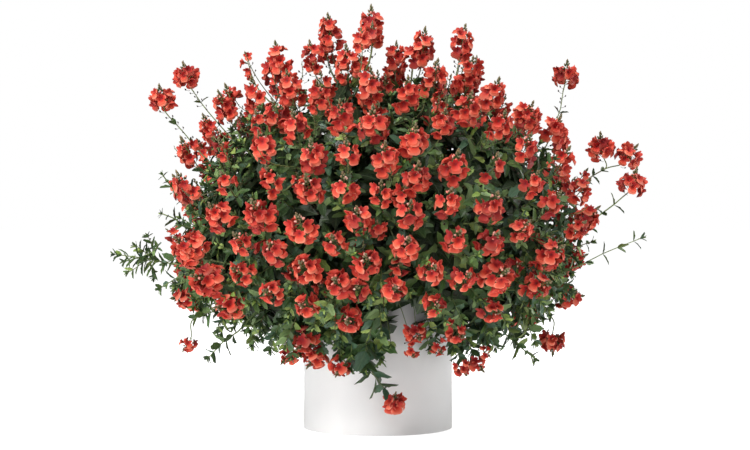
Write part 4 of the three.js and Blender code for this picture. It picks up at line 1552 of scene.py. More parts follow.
SHOOTS = [
    Shoot("left_high_outer", [[-22.6, 35.6, 1], [-26.4, 39.8, 2], [-28.6, 42.2, 2]], (13, 6), 40,
          [[-29.4, 44.6, 1, 2]], bare=True, slender=0.8),
    Shoot("left_high_inner", [[-19.4, 38.4, 6], [-23.6, 43.0, 6], [-25.6, 45.8, 6]], (13, 6), 45,
          [[-26.5, 48.0, 1, 6]], bare=True, slender=0.8),
    Shoot("right_high", [[21.6, 37.4, 6], [24.8, 42.0, 6], [25.6, 45.8, 6]], (15, 7), 30,
          [[26.0, 48.2, 1, 6]], bare=True, slender=0.8),
    Shoot("right_arching_upper", [[25.4, 30.8, 5], [29.0, 33.6, 5], [31.4, 35.0, 5]], (18, 8), 14,
          [[30.8, 38.2, 1, 5], [34.6, 36.9, 0.95, 4]]),
    Shoot("right_arching_lower", [[26.2, 26.4, 0], [31.0, 29.4, 0], [33.2, 31.2, 0]], (22, 9), 22,
          [[34.4, 33.3, 1, 0]]),
    Shoot("right_budding", [[25.4, 21.4, -3], [30.0, 23.5, -3], [35.2, 25.6, -3]], (22, 7), 22, tip_buds=5,
          slender=0.7),
    Shoot("left_narrow_leaved", [[-26.4, 22.0, -2], [-31.0, 22.8, -2], [-35.4, 23.4, -2]], (20, 6.5), 8,
          slender=0.8, side_ends=[[-31.0, 25.8, -1], [-33.4, 21.0, -3], [-29.4, 24.6, -3], [-32.6, 24.6, -2],
                                  [-30.2, 20.2, -1], [-34.2, 22.4, -1]]),
    Shoot("left_tips_upper", [[-26.2, 30.4, 2], [-28.2, 32.6, 2], [-29.4, 34.2, 2]], (16, 8), 10),
    Shoot("left_tips_lower", [[-26.0, 26.8, 3], [-27.6, 28.0, 3], [-29.6, 28.8, 3]], (18, 8), 10),
    Shoot("low_left_spreading", [[-18.8, 15.6, -4], [-22.0, 15.8, -4], [-24.6, 14.8, -4]], (23, 12), 12,
          [[-25.4, 11.4, 0.6, -4]]),
    Shoot("low_left_hanging", [[-17.6, 14.2, -4], [-20.6, 11.8, -3], [-22.6, 9.6, -3]], (23, 12), 12),
    Shoot("front_trailing", [[-0.6, 15.8, -17.6], [-1.6, 11.8, -15.8], [-0.8, 8.8, -14.4], [0.8, 6.6, -13.6]],
          (32, 18), 13, [[2.1, 4.9, 0.8, -13.4]]),
    Shoot("low_right_spreading", [[15.6, 14.4, -7], [18.4, 11.6, -6], [20.8, 9.6, -5]], (23, 11), 12),
    Shoot("low_right_hanging", [[18.6, 16.4, -2], [21.6, 16.0, -2], [23.4, 14.8, -2]], (21, 10), 12,
          [[23.4, 11.4, 0.9, -2]]),
]


# Where leafy ends hang over the pot's front: across, up and behind, in cm, the length of their leaves
# in mm, and the size of the head at their end, as a share of a full one, where they have one.
HANGING = [
    [-16.5, 11.4, -6, 24], [-14.0, 10.9, -9, 22], [-11.6, 10.5, -11.5, 20, 0.85],
    [-10.0, 11.0, -12.6, 24], [-8.3, 10.4, -13.2, 22, 1.0], [-5.0, 9.3, -14.6, 22, 0.85],
    [-3.6, 9.3, -14.4, 33], [-1.6, 9.3, -14.8, 34], [0.4, 10.4, -15, 32], [-3.4, 11.2, -15.2, 34],
    [-7.2, 11.8, -14.5, 30], [7.7, 11.8, -14, 22, 0.65], [9.8, 11.4, -13, 24],
    [12.8, 9.4, -11.0, 22, 0.8], [15.2, 11.4, -10, 24], [18.4, 11.6, -8, 22], [-11.6, 12.4, -13, 26],
    [-5.0, 12.8, -15.5, 34], [10.6, 12.6, -13, 24], [14.0, 12.6, -12, 24], [-1.0, 12.6, -15.8, 34],
    [-6.4, 13.4, -15.4, 32], [10.8, 8.9, -12.6, 20, 0.65], [13.9, 10.9, -11.2, 20, 0.5],
    [4.9, 13.8, -15.6, 18, 0.9], [4.3, 11.4, -15.4, 16, 0.6], [1.6, 12.2, -15.6, 17],
]


@dataclass
class Foliage:
    """The leafy body: stems from the crown whose leaves close into the mound, and heads half hidden in it."""

    kit: Kit
    crown: Crown
    stems: int = 345
    low_stems: int = 100
    hidden_heads: int = 54
    back_heads: int = 60
    lowest: float = -0.9
    habit: Habit = field(default_factory=lambda: Habit(spacing=11.5, length=22, start=0.3))

    def __post_init__(self) -> None:
        """Starts the body in sectors, so that no piece is too large."""
        self.sprigs = [Sprig(f"foliage_{name}", self.kit, 900 + i)
                       for i, name in enumerate(("front_left", "front_right", "back_right", "back_left"))]

    def sector(self, p: Array) -> Sprig:
        """The sector that a point lies in."""
        return self.sprigs[(0 if p[0] < 0 else 1) if p[1] < 0 else (2 if p[0] > 0 else 3)]

    def bring(self, end: Array, lead: Array, thick: tuple[float, float], habit: Habit,
              rng: Rng | None = None) -> tuple[Sprig, Array]:
        """Grows a leafy stem from the crown to an end, where a spray or shoot may go on.

        Args:
            end: where it ends.
            lead: the direction in which it ends.
            thick: its radius at the ends.
            habit: how its leaves stand.
            rng: the draws for its line, if not its piece's own.

        Returns:
            Its piece, and the direction in which it really ends.
        """
        sprig = self.sector(end)
        path = self.crown.path_to(end, lead, rng or sprig.rng)
        sprig.stems.put(path, thick)
        habit.clothe(sprig, path)
        return sprig, ending(path)

    def directions(self, count: int, rng: Rng, highest: float = 1.0) -> Array:
        """Directions spread evenly over the mound by the golden section, as rows.

        Args:
            count: how many.
            rng: the draws.
            highest: the rise of the first one, on a ball of radius 1.

        Returns:
            The directions.
        """
        k = np.arange(count) + 0.5
        z = highest - (highest - self.lowest) * k / count
        ways = MOUND.toward(z, k * GOLDEN)
        return ways + rng.normal(0, 9, ways.shape)

    def grow(self) -> list[tuple[Sprig, str]]:
        """Grows the body's own stems, the hanging ends, the woody feet and the hidden heads.

        Returns:
            The pieces, each with its slot.
        """
        rng = np.random.default_rng((SEED, 7))
        self.dome(rng)
        self.hang(rng)
        self.crown.grow(self.sprigs[0])
        return [(s, "leaf") for s in self.sprigs] + [(self.hidden(rng), "petal")]

    def dome(self, rng: Rng) -> None:
        """Grows the stems whose leaves close into the mound.

        Args:
            rng: the draws.
        """
        low = self.directions(self.low_stems, rng, -0.3)
        for way in np.vstack([self.directions(self.stems, rng), low]):
            reach = MOUND.leaves_reach(MOUND.middle + way) * (0.93 + 0.11 * rng.random())
            if rng.random() < 0.12 and way[2] < 0.5 * MOUND.up:
                reach *= 1.1
            tip = MOUND.on(way, reach)
            if in_pot(tip, 14) or BARE_PATCH.hidden_by(tip):
                continue
            out = MOUND.out(tip)
            lead = unit(out + (0.45 if out[2] > -0.3 else -0.35) * UP)
            sprig, end = self.bring(tip, lead, (1.5, 0.6), self.habit, rng)
            self.habit.crown(sprig, tip, end, 24)

    def hang(self, rng: Rng) -> None:
        """Grows the leafy ends over the pot's front, some with a head.

        Args:
            rng: the draws.
        """
        for across, up, behind, leaf, *head in HANGING:
            tip = from_cm(across, up, behind)
            way = unit(MOUND.out(tip) - 0.9 * UP)
            habit = Habit(spacing=0.42 * leaf, length=leaf, width=1.15 if leaf > 28 else 1.05, start=0.45,
                          open_front=bool(head), deep=leaf > 25 or across > 5)
            sprig, end = self.bring(tip - way * 12 * len(head), way, (1.3, 0.55), habit, rng)
            for size in head:
                axis = unit(MOUND.out(tip) + 0.1 * UP)
                Raceme(tip, axis, size, low=-9, high=2, open_flowers=9).grow(sprig)
            if not head:
                self.habit.crown(sprig, tip, end, leaf)

    def hidden(self, rng: Rng) -> Sprig:
        """Grows the heads that stand half hidden in the leaves, and the fuller ones of the back.

        Args:
            rng: the draws.

        Returns:
            Their piece.
        """
        heads = Sprig("foliage_hidden_flowers", self.kit, 950)
        behind = [w for w in self.directions(self.back_heads * 3, rng) if w[1] > 20 and w[2] > -60]
        for way in [*self.directions(self.hidden_heads, rng), *behind[:self.back_heads]]:
            place = MOUND.on(way, 0.84 + 0.07 * rng.random())
            if place[2] < 150 or BARE_PATCH.hidden_by(place):
                continue
            size = 0.72
            if way[1] > 20:
                place, size = MOUND.on(way, 0.91 + 0.07 * rng.random()), 0.88
            elif place[2] > 320 and not -150 < place[0] < 130:
                continue
            # Six in ten of these flowers take the dark petal rows, as withered flowers and as painted shade
            # inside the leaves.
            raceme = Raceme(place, raceme_axis(place), size, open_flowers=7, withered_and_shade_share=0.6, spent=0, far=True)
            heads.stems.put(self.crown.path_to(raceme.foot, raceme.axis, rng), (1.2, 0.7))
            raceme.grow(heads)
        return heads


# Pot and soil.


@dataclass
class Pot:
    """A plain white cylinder with a rounded lip, a foot ring, a middle pad and three drain holes."""

    radius: float = POT_RADIUS
    height: float = POT_HEIGHT
    wall: float = 4.0
    floor: float = 6.0
    foot: float = 3.0
    ring: float = 10.0
    pad: float = 18.0
    hole: float = 7.0
    holes_at: float = 50.0

    def build(self, finish: Material) -> Thing:
        """Turns the pot, carves its hollow and its underside, and rounds its edges.

        Args:
            finish: its material.

        Returns:
            The finished object.
        """
        bench = Bench(bpy.ops.mesh.primitive_cylinder_add, vertices=144, radius=self.radius * MM,
                      depth=self.height * MM, location=(0, 0, self.height * MM / 2))
        bpy.ops.object.transform_apply()
        bench.pick_faces(lambda c, n: n.z > 0.9)
        bpy.ops.mesh.inset(thickness=self.wall * MM)
        deep = self.height - self.foot - self.floor
        bpy.ops.mesh.extrude_region_move(TRANSFORM_OT_translate={"value": (0, 0, -deep * MM)})
        bench.leave()
        bench.pick_faces(lambda c, n: n.z < -0.9 and c.z < 1e-4)
        bpy.ops.mesh.inset(thickness=self.ring * MM)
        bpy.ops.mesh.inset(thickness=(self.radius - self.ring - self.pad - 1) * MM)
        bench.leave()
        # The faces between the foot ring and the pad.
        bench.pick_faces(lambda c, n: n.z < -0.9 and c.z < 1e-4 and 0.03 < math.hypot(c.x, c.y) < 0.08)
        bpy.ops.mesh.extrude_region_move(TRANSFORM_OT_translate={"value": (0, 0, self.foot * MM)})
        bench.leave()
        bench.heal(1e-6)
        self.drill(bench)
        bench.modify("BEVEL", width=1.4 * MM, segments=3, limit_method="ANGLE", angle_limit=math.radians(50),
                     use_clamp_overlap=True)
        return bench.hand_over("pot_white", finish, "pot", 35)

    def drill(self, bench: Bench) -> None:
        """Cuts the drain holes through the floor.

        Args:
            bench: the pot.
        """
        for i in range(3):
            turn = 2 * math.pi * (i + 0.5) / 3
            x, y = self.holes_at * math.cos(turn) * MM, self.holes_at * math.sin(turn) * MM
            drill = Bench(bpy.ops.mesh.primitive_cylinder_add, vertices=32, radius=self.hole * MM, depth=0.03,
                          location=(x, y, 0)).ob
            bench.modify("BOOLEAN", object=drill, operation="DIFFERENCE", solver="EXACT")
            bpy.data.objects.remove(drill, do_unlink=True)


@dataclass
class Soil:
    """Moist compost with a rough top, and coarse crumbs lying on it."""

    radius: float = 95.6
    rim: float = 167.0
    middle: float = 171.0
    bottom: float = 9.35
    crumbs: int = 260

    def build(self, finish: Material) -> Thing:
        """Makes the filling, roughens its top and strews the crumbs.

        Args:
            finish: its material.

        Returns:
            The finished object.
        """
        bench = Bench(bpy.ops.mesh.primitive_cylinder_add, vertices=72, radius=self.radius * MM,
                      depth=(self.rim - self.bottom) * MM, location=(0, 0, (self.rim + self.bottom) / 2 * MM))
        bpy.ops.object.transform_apply()
        bench.pick_faces(lambda c, n: n.z > 0.9)
        for _ in range(15):
            bpy.ops.mesh.inset(thickness=6 * MM)
        bpy.ops.mesh.poke()
        bench.leave()
        p = bench.points()
        away = np.hypot(p[:, 0], p[:, 1]) / (self.radius * MM)
        top = (p[:, 2] > self.rim * MM - 1e-5) & (away < 0.99)
        rough = np.array([noise.fractal(Vector(q) * 110, 0.6, 2.1, 4) for q in p])
        p[:, 2] += top * ((self.middle - self.rim) * (1 - away**2) + 2.2 * rough * (1 - away**6)) * MM
        bench.set_points(p)
        bench.heal(1e-6)
        select(*self.strew(), bench.ob)
        bpy.ops.object.join()
        return bench.hand_over("soil_compost", finish, "soil", 40)

    def strew(self) -> list[Thing]:
        """Crumbs: one lump, drawn out of shape, copied with its own mesh at each place.

        Returns:
            The crumbs.
        """
        rng = np.random.default_rng((SEED, 5))
        lump = Bench(bpy.ops.mesh.primitive_ico_sphere_add, subdivisions=1, radius=1)
        shape = lump.points()
        out = []
        for _ in range(self.crumbs):
            r = self.radius * math.sqrt(rng.random()) * 0.94
            a = rng.random() * 2 * math.pi
            z = self.rim + (self.middle - self.rim) * (1 - (r / self.radius) ** 2)
            size = rng.uniform(1.0, 3.4) * rng.uniform(0.5, 1.2, 3)
            me = lump.ob.data.copy()
            q = shape * size * rng.uniform(0.75, 1.2, (len(shape), 1)) + [r * math.cos(a), r * math.sin(a), z]
            me.vertices.foreach_set("co", (q * MM).ravel())
            out.append(put_in_scene("crumb", me))
        bpy.data.objects.remove(lump.ob, do_unlink=True)
        return out


# Finishes.


class Nodes:
    """A node tree with short calls that add nodes and join them."""

    def __init__(self, tree: bpy.types.NodeTree) -> None:
        """Keeps the tree."""
        self.tree = tree

    def add(self, kind: str, inputs: dict | None = None, **settings: object) -> bpy.types.Node:
        """Adds a node.

        Args:
            kind: its type, without the common prefix.
            inputs: values or sockets for its inputs, by name or number.
            settings: its own settings.

        Returns:
            The node.
        """
        node = self.tree.nodes.new("ShaderNode" + kind)
        for name, value in settings.items():
            setattr(node, name, value)
        for name, value in (inputs or {}).items():
            self.plug(node.inputs[name], value)
        return node

    def plug(self, socket: Socket, value: object) -> None:
        """Joins a socket to another, or sets its value.

        Args:
            socket: the socket.
            value: another socket, a number or a colour.
        """
        if isinstance(value, Socket):
            self.tree.links.new(value, socket)
        elif isinstance(value, tuple) and len(value) == 3 and len(socket.default_value) == 4:
            socket.default_value = (*value, 1.0)
        else:
            socket.default_value = value

    def maths(self, operation: str, a: object, b: object = 0.0, c: object = 0.0) -> Socket:
        """A value worked out from up to three others."""
        return self.add("Math", {0: a, 1: b, 2: c}, operation=operation).outputs[0]

    def times(self, a: object, b: object, plus: object = 0.0) -> Socket:
        """One value times another, plus a third."""
        return self.maths("MULTIPLY_ADD", a, b, plus)

    def vector(self, operation: str, a: object, b: object = (0.0, 0.0, 0.0)) -> Socket:
        """A vector worked out from up to two others."""
        return self.add("VectorMath", {0: a, 1: b}, operation=operation).outputs[0]

    def spread(self, value: object, low: float, high: float, to_low: float = 0.0,
               to_high: float = 1.0) -> Socket:
        """A value taken smoothly from one range to another, and held at its ends."""
        ends = {0: value, 1: low, 2: high, 3: to_low, 4: to_high}
        return self.add("MapRange", ends, interpolation_type="SMOOTHSTEP").outputs[0]

    def noise(self, place: object, scale: float, detail: float) -> Socket:
        """A soft noise.

        Args:
            place: where it is read: a vector, or its three parts.
            scale: how fine it is.
            detail: how many finer layers it has.

        Returns:
            A value from 0 to 1.
        """
        if isinstance(place, tuple):
            place = self.add("CombineXYZ", dict(enumerate(place))).outputs[0]
        return self.add("TexNoise", {"Vector": place, "Scale": scale, "Detail": detail}).outputs[0]

    def mix(self, share: object, a: object, b: object, way: str = "MIX") -> Socket:
        """One colour mixed into another.

        Args:
            share: how much of the second there is.
            a: the first colour.
            b: the second colour.
            way: how they are mixed.

        Returns:
            The mixed colour.
        """
        node = self.add("Mix", data_type="RGBA", blend_type=way)
        for socket, value in ((0, share), (6, a), (7, b)):
            self.plug(node.inputs[socket], value)
        return node.outputs[2]

    def shaded(self, colour: object, light: object) -> Socket:
        """A colour times a brightness."""
        grey = self.add("CombineColor", {0: light, 1: light, 2: light}).outputs[0]
        return self.mix(1.0, colour, grey, "MULTIPLY")

    def ramp(self, value: object, stops: Sequence[tuple[float, Colour]],
             steps: bool = False) -> Socket:
        """A colour picked from stops by a value.

        Args:
            value: picks the colour.
            stops: values and their colours.
            steps: whether the colours change at once and not little by little.

        Returns:
            The colour.
        """
        node = self.add("ValToRGB", {0: value})
        node.color_ramp.interpolation = "CONSTANT" if steps else "LINEAR"
        stop = node.color_ramp.elements
        while len(stop) < len(stops):
            stop.new(0.5)
        for element, (at, _) in zip(stop, stops):
            element.position = at
        for element, (_, colour) in zip(stop, stops):
            element.color = (*colour, 1.0)
        return node.outputs[0]


def copy_group() -> bpy.types.NodeTree:
    """The group that tells the copies of a shape apart: each copy has a place in the pattern map.

    Returns:
        A group with outputs Across and Along from 0 to 1 in the copy's place, Back, which is 1 on its
        back, Row from 0 to 1, and Chance and Second, which differ from place to place.
    """
    group = bpy.data.node_groups.new("one_of_many", "ShaderNodeTree")
    n = Nodes(group)
    big = n.vector("MULTIPLY", n.add("UVMap", uv_map=PATTERN_MAP).outputs[0], (TILES, TILES, 1))
    tile = n.vector("FLOOR", big)
    u, v, _ = n.add("SeparateXYZ", {0: n.vector("FRACTION", big)}).outputs
    back = n.maths("GREATER_THAN", u, 0.5)
    filled = 1 - 2 * TILE_EDGE
    chance = n.add("TexWhiteNoise", {0: tile}, noise_dimensions="3D").outputs
    found = {
        "Across": n.times(n.times(back, -0.5, u), 0.5 / TILE_HALF, 0.5 - 0.125 / TILE_HALF),
        "Along": n.times(v, 1 / filled, -TILE_EDGE / filled),
        "Back": back,
        "Row": n.times(n.add("SeparateXYZ", {0: tile}).outputs[1], 1 / TILES, 0.5 / TILES),
        "Chance": chance[0],
        "Second": n.add("SeparateColor", {0: chance[1]}).outputs[2],
    }
    end = group.nodes.new("NodeGroupOutput")
    for name, socket in found.items():
        group.interface.new_socket(name, in_out="OUTPUT", socket_type="NodeSocketFloat")
        group.links.new(socket, end.inputs[name])
    return group


class Paint(Nodes):
    """A material: its nodes round one main shader."""

    def __init__(self, name: str, group: bpy.types.NodeTree | None = None) -> None:
        """Starts the material.

        Args:
            name: its name.
            group: tells the copies apart, where the piece has copies.
        """
        self.mat = bpy.data.materials.new(name)
        self.mat.use_nodes = True
        self.mat.node_tree.nodes.clear()
        super().__init__(self.mat.node_tree)
        self.shader = self.add("BsdfPrincipled")
        self.copy = self.add("Group", node_tree=group).outputs if group else {}

    def tones(self, colours: Sequence[Colour]) -> Socket:
        """The colour of a copy's row in the pattern map."""
        return self.ramp(self.copy["Row"], [(i / TILES, c) for i, c in enumerate(colours)], steps=True)

    def give(self, values: dict[str, object]) -> None:
        """Sets or joins the main shader's inputs by their names."""
        for name, value in values.items():
            self.plug(self.shader.inputs[name], value)

    def coat(self, colour: object, roughness: object, relief: tuple[object, float, float],
             specular: float = 0.5) -> None:
        """Gives the main shader what every finish has.

        Args:
            colour: the base colour.
            roughness: how dull it is.
            relief: a height, how strongly it shows, and its depth in metres.
            specular: how strongly it shines.
        """
        height, strength, depth = relief
        self.bump = self.add("Bump", {"Height": height, "Strength": strength, "Distance": depth}).outputs[0]
        self.give({"Base Color": colour, "Roughness": roughness, "Normal": self.bump,
                   "Specular IOR Level": specular})

    def done(self, through: float = 0.0, glow: object = None) -> Material:
        """Joins the shader to the output.

        Args:
            through: the share of light that shines through.
            glow: the colour of that light.

        Returns:
            The material.
        """
        last = self.shader.outputs[0]
        if through:
            shining = self.add("BsdfTranslucent", {"Color": glow, "Normal": self.bump}).outputs[0]
            last = self.add("MixShader", {0: through, 1: last, 2: shining}).outputs[0]
        self.plug(self.add("OutputMaterial").inputs["Surface"], last)
        return self.mat


@dataclass(frozen=True)
class PetalFinish:
    """Coral petals: a near-black throat, partly painted shade, crimson round it, painted shade in the clefts
    between the lobes and a lighter edge that is partly a painted highlight; darker in some flowers, and dark
    in withered ones and as painted shade.
    """

    # The near-black throat is partly the flower's own dark throat mark and partly painted shade of the deep
    # throat.
    throat: Colour = (0.10, 0.003, 0.005)
    inner: Colour = (0.34, 0.011, 0.010)
    middle: Colour = (0.66, 0.048, 0.026)
    # The edge and the rim are partly the petal's own paler margin and partly a painted highlight.
    edge: Colour = (0.86, 0.140, 0.075)
    rim: Colour = (0.95, 0.310, 0.200)
    crimson: Colour = (0.40, 0.012, 0.014)
    # Dark maroon of withered flowers, also painted shade on heads half hidden in the leaves.
    withered_and_painted_shade: Colour = (0.2, 0.008, 0.014)
    back: Colour = (0.68, 0.080, 0.048)
    through: float = 0.14

    def make(self, group: bpy.types.NodeTree) -> Material:
        """Builds the material.

        Args:
            group: tells the copies apart.

        Returns:
            The material.
        """
        n = Paint("petal_coral", group)
        x, y = (n.times(n.copy[name], 2.0, -1.0) for name in ("Across", "Along"))
        r = n.maths("SQRT", n.times(x, x, n.times(y, y)))
        round_it = n.times(n.maths("ARCTAN2", x, y), 4.0)
        grain = n.noise((round_it, n.times(r, 1.2), n.copy["Chance"]), 3.0, 3.0)
        # From painted shade in the throat, through the petal's own crimson and coral, to a rim that is partly
        # a painted highlight.
        face = n.ramp(n.times(n.maths("SUBTRACT", grain, 0.5), 0.16, r), [
            (0.10, self.throat), (0.23, self.inner), (0.45, self.middle), (0.78, self.edge), (1.0, self.rim)])
        above = n.times(n.spread(y, -0.35, 0.4), n.spread(r, 1.0, 0.8, 0.3, 0.85))
        face = n.mix(above, face, self.crimson)
        from_lip = n.maths("DIVIDE", n.maths("ABSOLUTE", n.maths("ARCTAN2", x, n.times(y, -1.0))), math.pi)
        # Painted shade: crimson darkening in the clefts between the lobes.
        cleft_shade = n.ramp(from_lip, [(at, (dark,) * 3) for at, dark in (
            (0.33, 0.0), (0.40, 1.0), (0.47, 0.0), (0.73, 0.0), (0.80, 1.0), (0.87, 0.0), (1.0, 0.8))])
        face = n.mix(n.times(n.times(cleft_shade, n.spread(r, 0.25, 0.7)), 0.75), face, self.crimson)
        back = n.mix(n.times(n.spread(r, 0.7, 0.1), 0.6), self.back, self.inner)
        colour = n.mix(n.copy["Back"], face, back)
        colour = n.mix(n.times(n.spread(n.copy["Chance"], 0.3, 1.0), 0.42), colour, self.crimson)
        # Dark rows: withered flowers, and painted shade on heads deep in the leaves.
        colour = n.mix(n.times(n.spread(n.copy["Row"], 0.7, 0.85), 0.6), colour, self.withered_and_painted_shade)
        colour = n.shaded(colour, n.times(n.copy["Second"], 0.3, 0.85))
        height = n.times(grain, 0.6, n.spread(r, 0.2, 0.5, 0, 0.3))
        n.coat(colour, 0.52, (height, 0.35, 0.0006), 0.25)
        n.give({"Sheen Weight": 0.05})
        return n.done(self.through, colour)


@dataclass(frozen=True)
class LeafFinish:
    """Deep green leaves with a paler midrib and side veins, a satin face and a dull back; painted sheen on
    some leaves, brighter and bluish, and painted shade on the inner ones, darkest.
    """

    # Tones drawn per leaf: the bluish third and the bright fifth are partly painted sheen, the sixth,
    # darkest, is painted shade on the inner leaves, and the last two are young and yellowing leaves.
    tones: tuple[Colour, ...] = (
        (0.041, 0.092, 0.025), (0.064, 0.136, 0.037), (0.070, 0.146, 0.082), (0.112, 0.198, 0.049),
        (0.185, 0.285, 0.100), (0.021, 0.043, 0.012), (0.225, 0.330, 0.068), (0.30, 0.400, 0.100))
    vein: Colour = (0.14, 0.20, 0.09)
    back: Colour = (0.075, 0.115, 0.05)
    glow: Colour = (0.10, 0.20, 0.02)
    through: float = 0.12

    def make(self, group: bpy.types.NodeTree) -> Material:
        """Builds the material.

        Args:
            group: tells the copies apart.

        Returns:
            The material.
        """
        n = Paint("leaf_green", group)
        u = n.maths("ABSOLUTE", n.times(n.copy["Across"], 2.0, -1.0))
        v = n.copy["Along"]
        wave = n.maths("PINGPONG", n.times(u, -0.30, v), 0.075)
        vein = n.times(n.spread(wave, 0.012, 0.002), n.spread(u, 1.0, 0.4, 0.2, 1.0))
        lines = n.maths("MAXIMUM", n.spread(u, 0.10, 0.02), n.times(vein, 0.7))
        cloud = n.noise((u, v, n.copy["Chance"]), 3.5, 3.0)
        colour = n.shaded(n.tones(self.tones), n.times(n.copy["Chance"], 0.5, n.times(cloud, 0.9, 0.3)))
        colour = n.mix(n.times(lines, 0.55), colour, n.mix(0.5, colour, self.vein))
        colour = n.mix(n.times(n.copy["Back"], 0.45), colour, self.back)
        dull = n.times(n.copy["Second"], 0.2, n.times(n.copy["Back"], 0.18, 0.27))
        n.coat(colour, dull, (n.maths("SUBTRACT", n.times(cloud, 0.5), lines), 0.5, 0.0008), 0.45)
        return n.done(self.through, n.mix(0.5, colour, self.glow))


@dataclass(frozen=True)
class StemFinish:
    """Olive stems that are browner in some, and the dark spent capsules."""

    tones: tuple[Colour, ...] = (
        (0.120, 0.165, 0.050), (0.160, 0.215, 0.065), (0.100, 0.130, 0.042), (0.120, 0.105, 0.045),
        (0.190, 0.250, 0.085), (0.040, 0.022, 0.014), (0.20, 0.27, 0.09), (0.24, 0.32, 0.12))

    def make(self, group: bpy.types.NodeTree) -> Material:
        """Builds the material.

        Args:
            group: tells the copies apart.

        Returns:
            The material.
        """
        n = Paint("stem_olive", group)
        streak = n.noise((n.times(n.copy["Across"], 9.0), n.copy["Along"], n.copy["Chance"]), 4.0, 4.0)
        colour = n.shaded(n.tones(self.tones), n.times(streak, 0.8, 0.6))
        n.coat(colour, n.times(streak, 0.25, 0.4), (streak, 0.4, 0.0004))
        return n.done()


@dataclass(frozen=True)
class BudFinish:
    """Buds in green sepals with a coral or pinkish tip; the youngest are green all over."""

    sepal: Colour = (0.058, 0.100, 0.028)
    tip: Colour = (0.75, 0.14, 0.10)
    blush: Colour = (0.80, 0.46, 0.38)

    def make(self, group: bpy.types.NodeTree) -> Material:
        """Builds the material.

        Args:
            group: tells the copies apart.

        Returns:
            The material.
        """
        n = Paint("bud_blushed", group)
        tip = n.mix(n.copy["Chance"], self.tip, self.blush)
        young = n.spread(n.copy["Row"], 0.7, 0.8)
        shown = n.times(n.spread(n.copy["Along"], 0.35, 0.6), n.times(young, -0.8, 1.0))
        mottle = n.noise((n.copy["Across"], n.copy["Along"], n.copy["Second"]), 5.0, 2.0)
        colour = n.shaded(n.mix(shown, self.sepal, tip), n.times(mottle, 0.8, 0.6))
        n.coat(colour, 0.5, (mottle, 0.3, 0.0004))
        return n.done()


@dataclass(frozen=True)
class PotFinish:
    """Smooth white with a faint unevenness, and a little darker and greyer towards the foot."""

    white: Colour = (0.86, 0.86, 0.86)
    foot_grey: Colour = (0.79, 0.78, 0.76)

    def make(self) -> Material:
        """Builds the material.

        Returns:
            The material.
        """
        n = Paint("pot_satin_white")
        place = n.add("TexCoord").outputs["Object"]
        cloud, fine = n.noise(place, 14.0, 5.0), n.noise(place, 420.0, 2.0)
        high = n.add("SeparateXYZ", {0: place}).outputs[2]
        low = n.times(n.spread(high, 0.03, 0.0), n.spread(cloud, 0.35, 0.7))
        colour = n.mix(n.times(low, 0.5), self.white, self.foot_grey)
        n.coat(colour, n.times(cloud, 0.18, 0.3), (n.times(fine, 0.3, cloud), 0.08, 0.001), 0.4)
        return n.done()


@dataclass(frozen=True)
class SoilFinish:
    """Dark moist compost with lighter fibres."""

    dark: Colour = (0.012, 0.008, 0.005)
    brown: Colour = (0.055, 0.034, 0.02)
    fibre: Colour = (0.16, 0.11, 0.065)

    def make(self) -> Material:
        """Builds the material.

        Returns:
            The material.
        """
        n = Paint("soil_compost")
        place = n.add("TexCoord").outputs["Object"]
        grain = n.noise(place, 260.0, 6.0)
        bits = n.add("TexVoronoi", {"Vector": place, "Scale": 420.0}).outputs[0]
        colour = n.ramp(grain, [(0.32, self.dark), (0.62, self.brown), (0.78, self.fibre)])
        n.coat(colour, 0.92, (n.maths("SUBTRACT", grain, bits), 0.9, 0.002))
        return n.done()


# The studio.


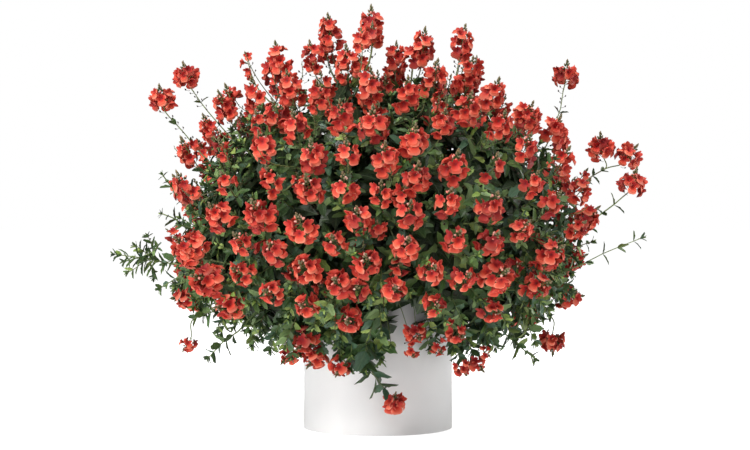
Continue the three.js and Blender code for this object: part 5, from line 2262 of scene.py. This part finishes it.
@dataclass
class Studio:
    """A pale floor, a white surround, soft lamps from the left and above, and the camera."""

    lens: float = 88.9
    eye: Place = (-0.004, -2.5, 0.31)
    look: Place = (-0.004, 0.0, 0.2727)
    lit: Place = (0.0, 0.0, 0.28)
    floor_size: float = 30.0

    def build(self) -> None:
        """Sets everything up."""
        self.camera()
        self.floor()
        self.surround()
        self.lamp("key", (-2.1, -2.3, 3.2), 1.1, 128, (1.0, 0.985, 0.96))
        self.lamp("low", (-3.0, -1.9, 0.2), 2.0, 47, (0.98, 0.99, 1.0), 0.34)
        self.lamp("top", (0.2, -0.4, 3.2), 1.6, 54, (1.0, 1.0, 1.0))
        self.lamp("fill", (0.9, -3.4, 0.7), 2.0, 16, (0.97, 0.985, 1.0))
        self.lamp("edge", (2.6, 0.9, 0.7), 1.2, 26, (1.0, 1.0, 1.0))
        bpy.context.scene.view_settings.view_transform = "Standard"

    def camera(self) -> None:
        """Adds the camera at the photograph's place."""
        data = bpy.data.cameras.new("camera")
        data.lens, data.sensor_width = self.lens, 36.0
        bpy.context.scene.camera = self.aim(put_in_scene("camera", data), self.eye, self.look)

    def aim(self, ob: Thing, at: Sequence[float], target: Sequence[float]) -> Thing:
        """Sets an object at a place in metres so that it looks at a target, and gives it back."""
        ob.location, ob.rotation_euler = at, (Vector(target) - Vector(at)).to_track_quat("-Z", "Y").to_euler()
        return ob

    def floor(self) -> None:
        """Adds the floor."""
        bench = Bench(bpy.ops.mesh.primitive_plane_add, size=self.floor_size, location=(0, 0, -0.0005))
        bench.ob.name = "floor"
        n = Paint("floor_pale")
        n.give({"Base Color": (0.92,) * 3, "Roughness": 0.9, "Specular IOR Level": 0.1,
                "Emission Color": (1.0,) * 3, "Emission Strength": self.to_eye(n, 0.12, 0.8)})
        bench.ob.data.materials.append(n.done())
        bench.ob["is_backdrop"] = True

    def to_eye(self, n: Nodes, as_light: float, seen: float) -> Socket:
        """One strength for what the camera sees, and another for what lights the plant."""
        ray = n.add("LightPath").outputs["Is Camera Ray"]
        return n.add("MapRange", {0: ray, 3: as_light, 4: seen}).outputs[0]

    def surround(self) -> None:
        """Makes the surround white to the eye and dimmer as a light."""
        world = bpy.data.worlds.new("surround")
        world.use_nodes = True
        world.node_tree.nodes.clear()
        n = Nodes(world.node_tree)
        light = n.add("Background", {"Color": (1.0,) * 3, "Strength": self.to_eye(n, 0.23, 1.0)})
        n.plug(n.add("OutputWorld").inputs["Surface"], light.outputs[0])
        bpy.context.scene.world = world

    def lamp(self, name: str, at: Place, size: float, power: float, colour: Colour,
             high: float | None = None) -> None:
        """Adds a soft lamp that shines at the plant.

        Args:
            name: its name.
            at: its place in metres.
            size: its width.
            power: its watts.
            colour: its colour.
            high: its height, if it isn't square.
        """
        data = bpy.data.lights.new(name, "AREA")
        data.shape, data.size, data.size_y = "RECTANGLE", size, high or size
        data.energy, data.color = power, colour
        self.aim(put_in_scene(name, data), at, self.lit)


def main() -> None:
    """Builds the studio, the finishes and every piece."""
    logging.basicConfig(level=logging.INFO, format="%(message)s")
    Studio().build()
    group = copy_group()
    finishes = {"petal": PetalFinish().make(group), "leaf": LeafFinish().make(group),
                "stem": StemFinish().make(group), "bud": BudFinish().make(group)}
    Pot().build(PotFinish().make())
    Soil().build(SoilFinish().make())
    kit = Kit()
    body = Foliage(kit, Crown())
    sprays = Sprays(kit, body)
    for side, groups in (("front", sprays.front()), ("back", sprays.back())):
        for i, racemes in enumerate(groups, 1):
            name = f"spray_{side}_{i:02d}"
            sprays.grow(f"{name}_flowers", i + (100 if side == "back" else 0), racemes).build(
                finishes, "petal", name)
    for i, shoot in enumerate(SHOOTS):
        stem, heads = shoot.grow(kit, body, 300 + i)
        stem.name += "_leafy"
        stem.build(finishes, "leaf", f"shoot_{shoot.name}")
        if heads:
            heads.name += "_flowers"
            heads.build(finishes, "petal", f"raceme_{shoot.name}")
    for sprig, slot in body.grow():
        sprig.build(finishes, slot, "foliage")
    total = sum(len(p.vertices) - 2 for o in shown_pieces() if o.type == "MESH" for p in o.data.polygons)
    log.info("shown triangles: %d", total)


if __name__ == "__main__":
    main()
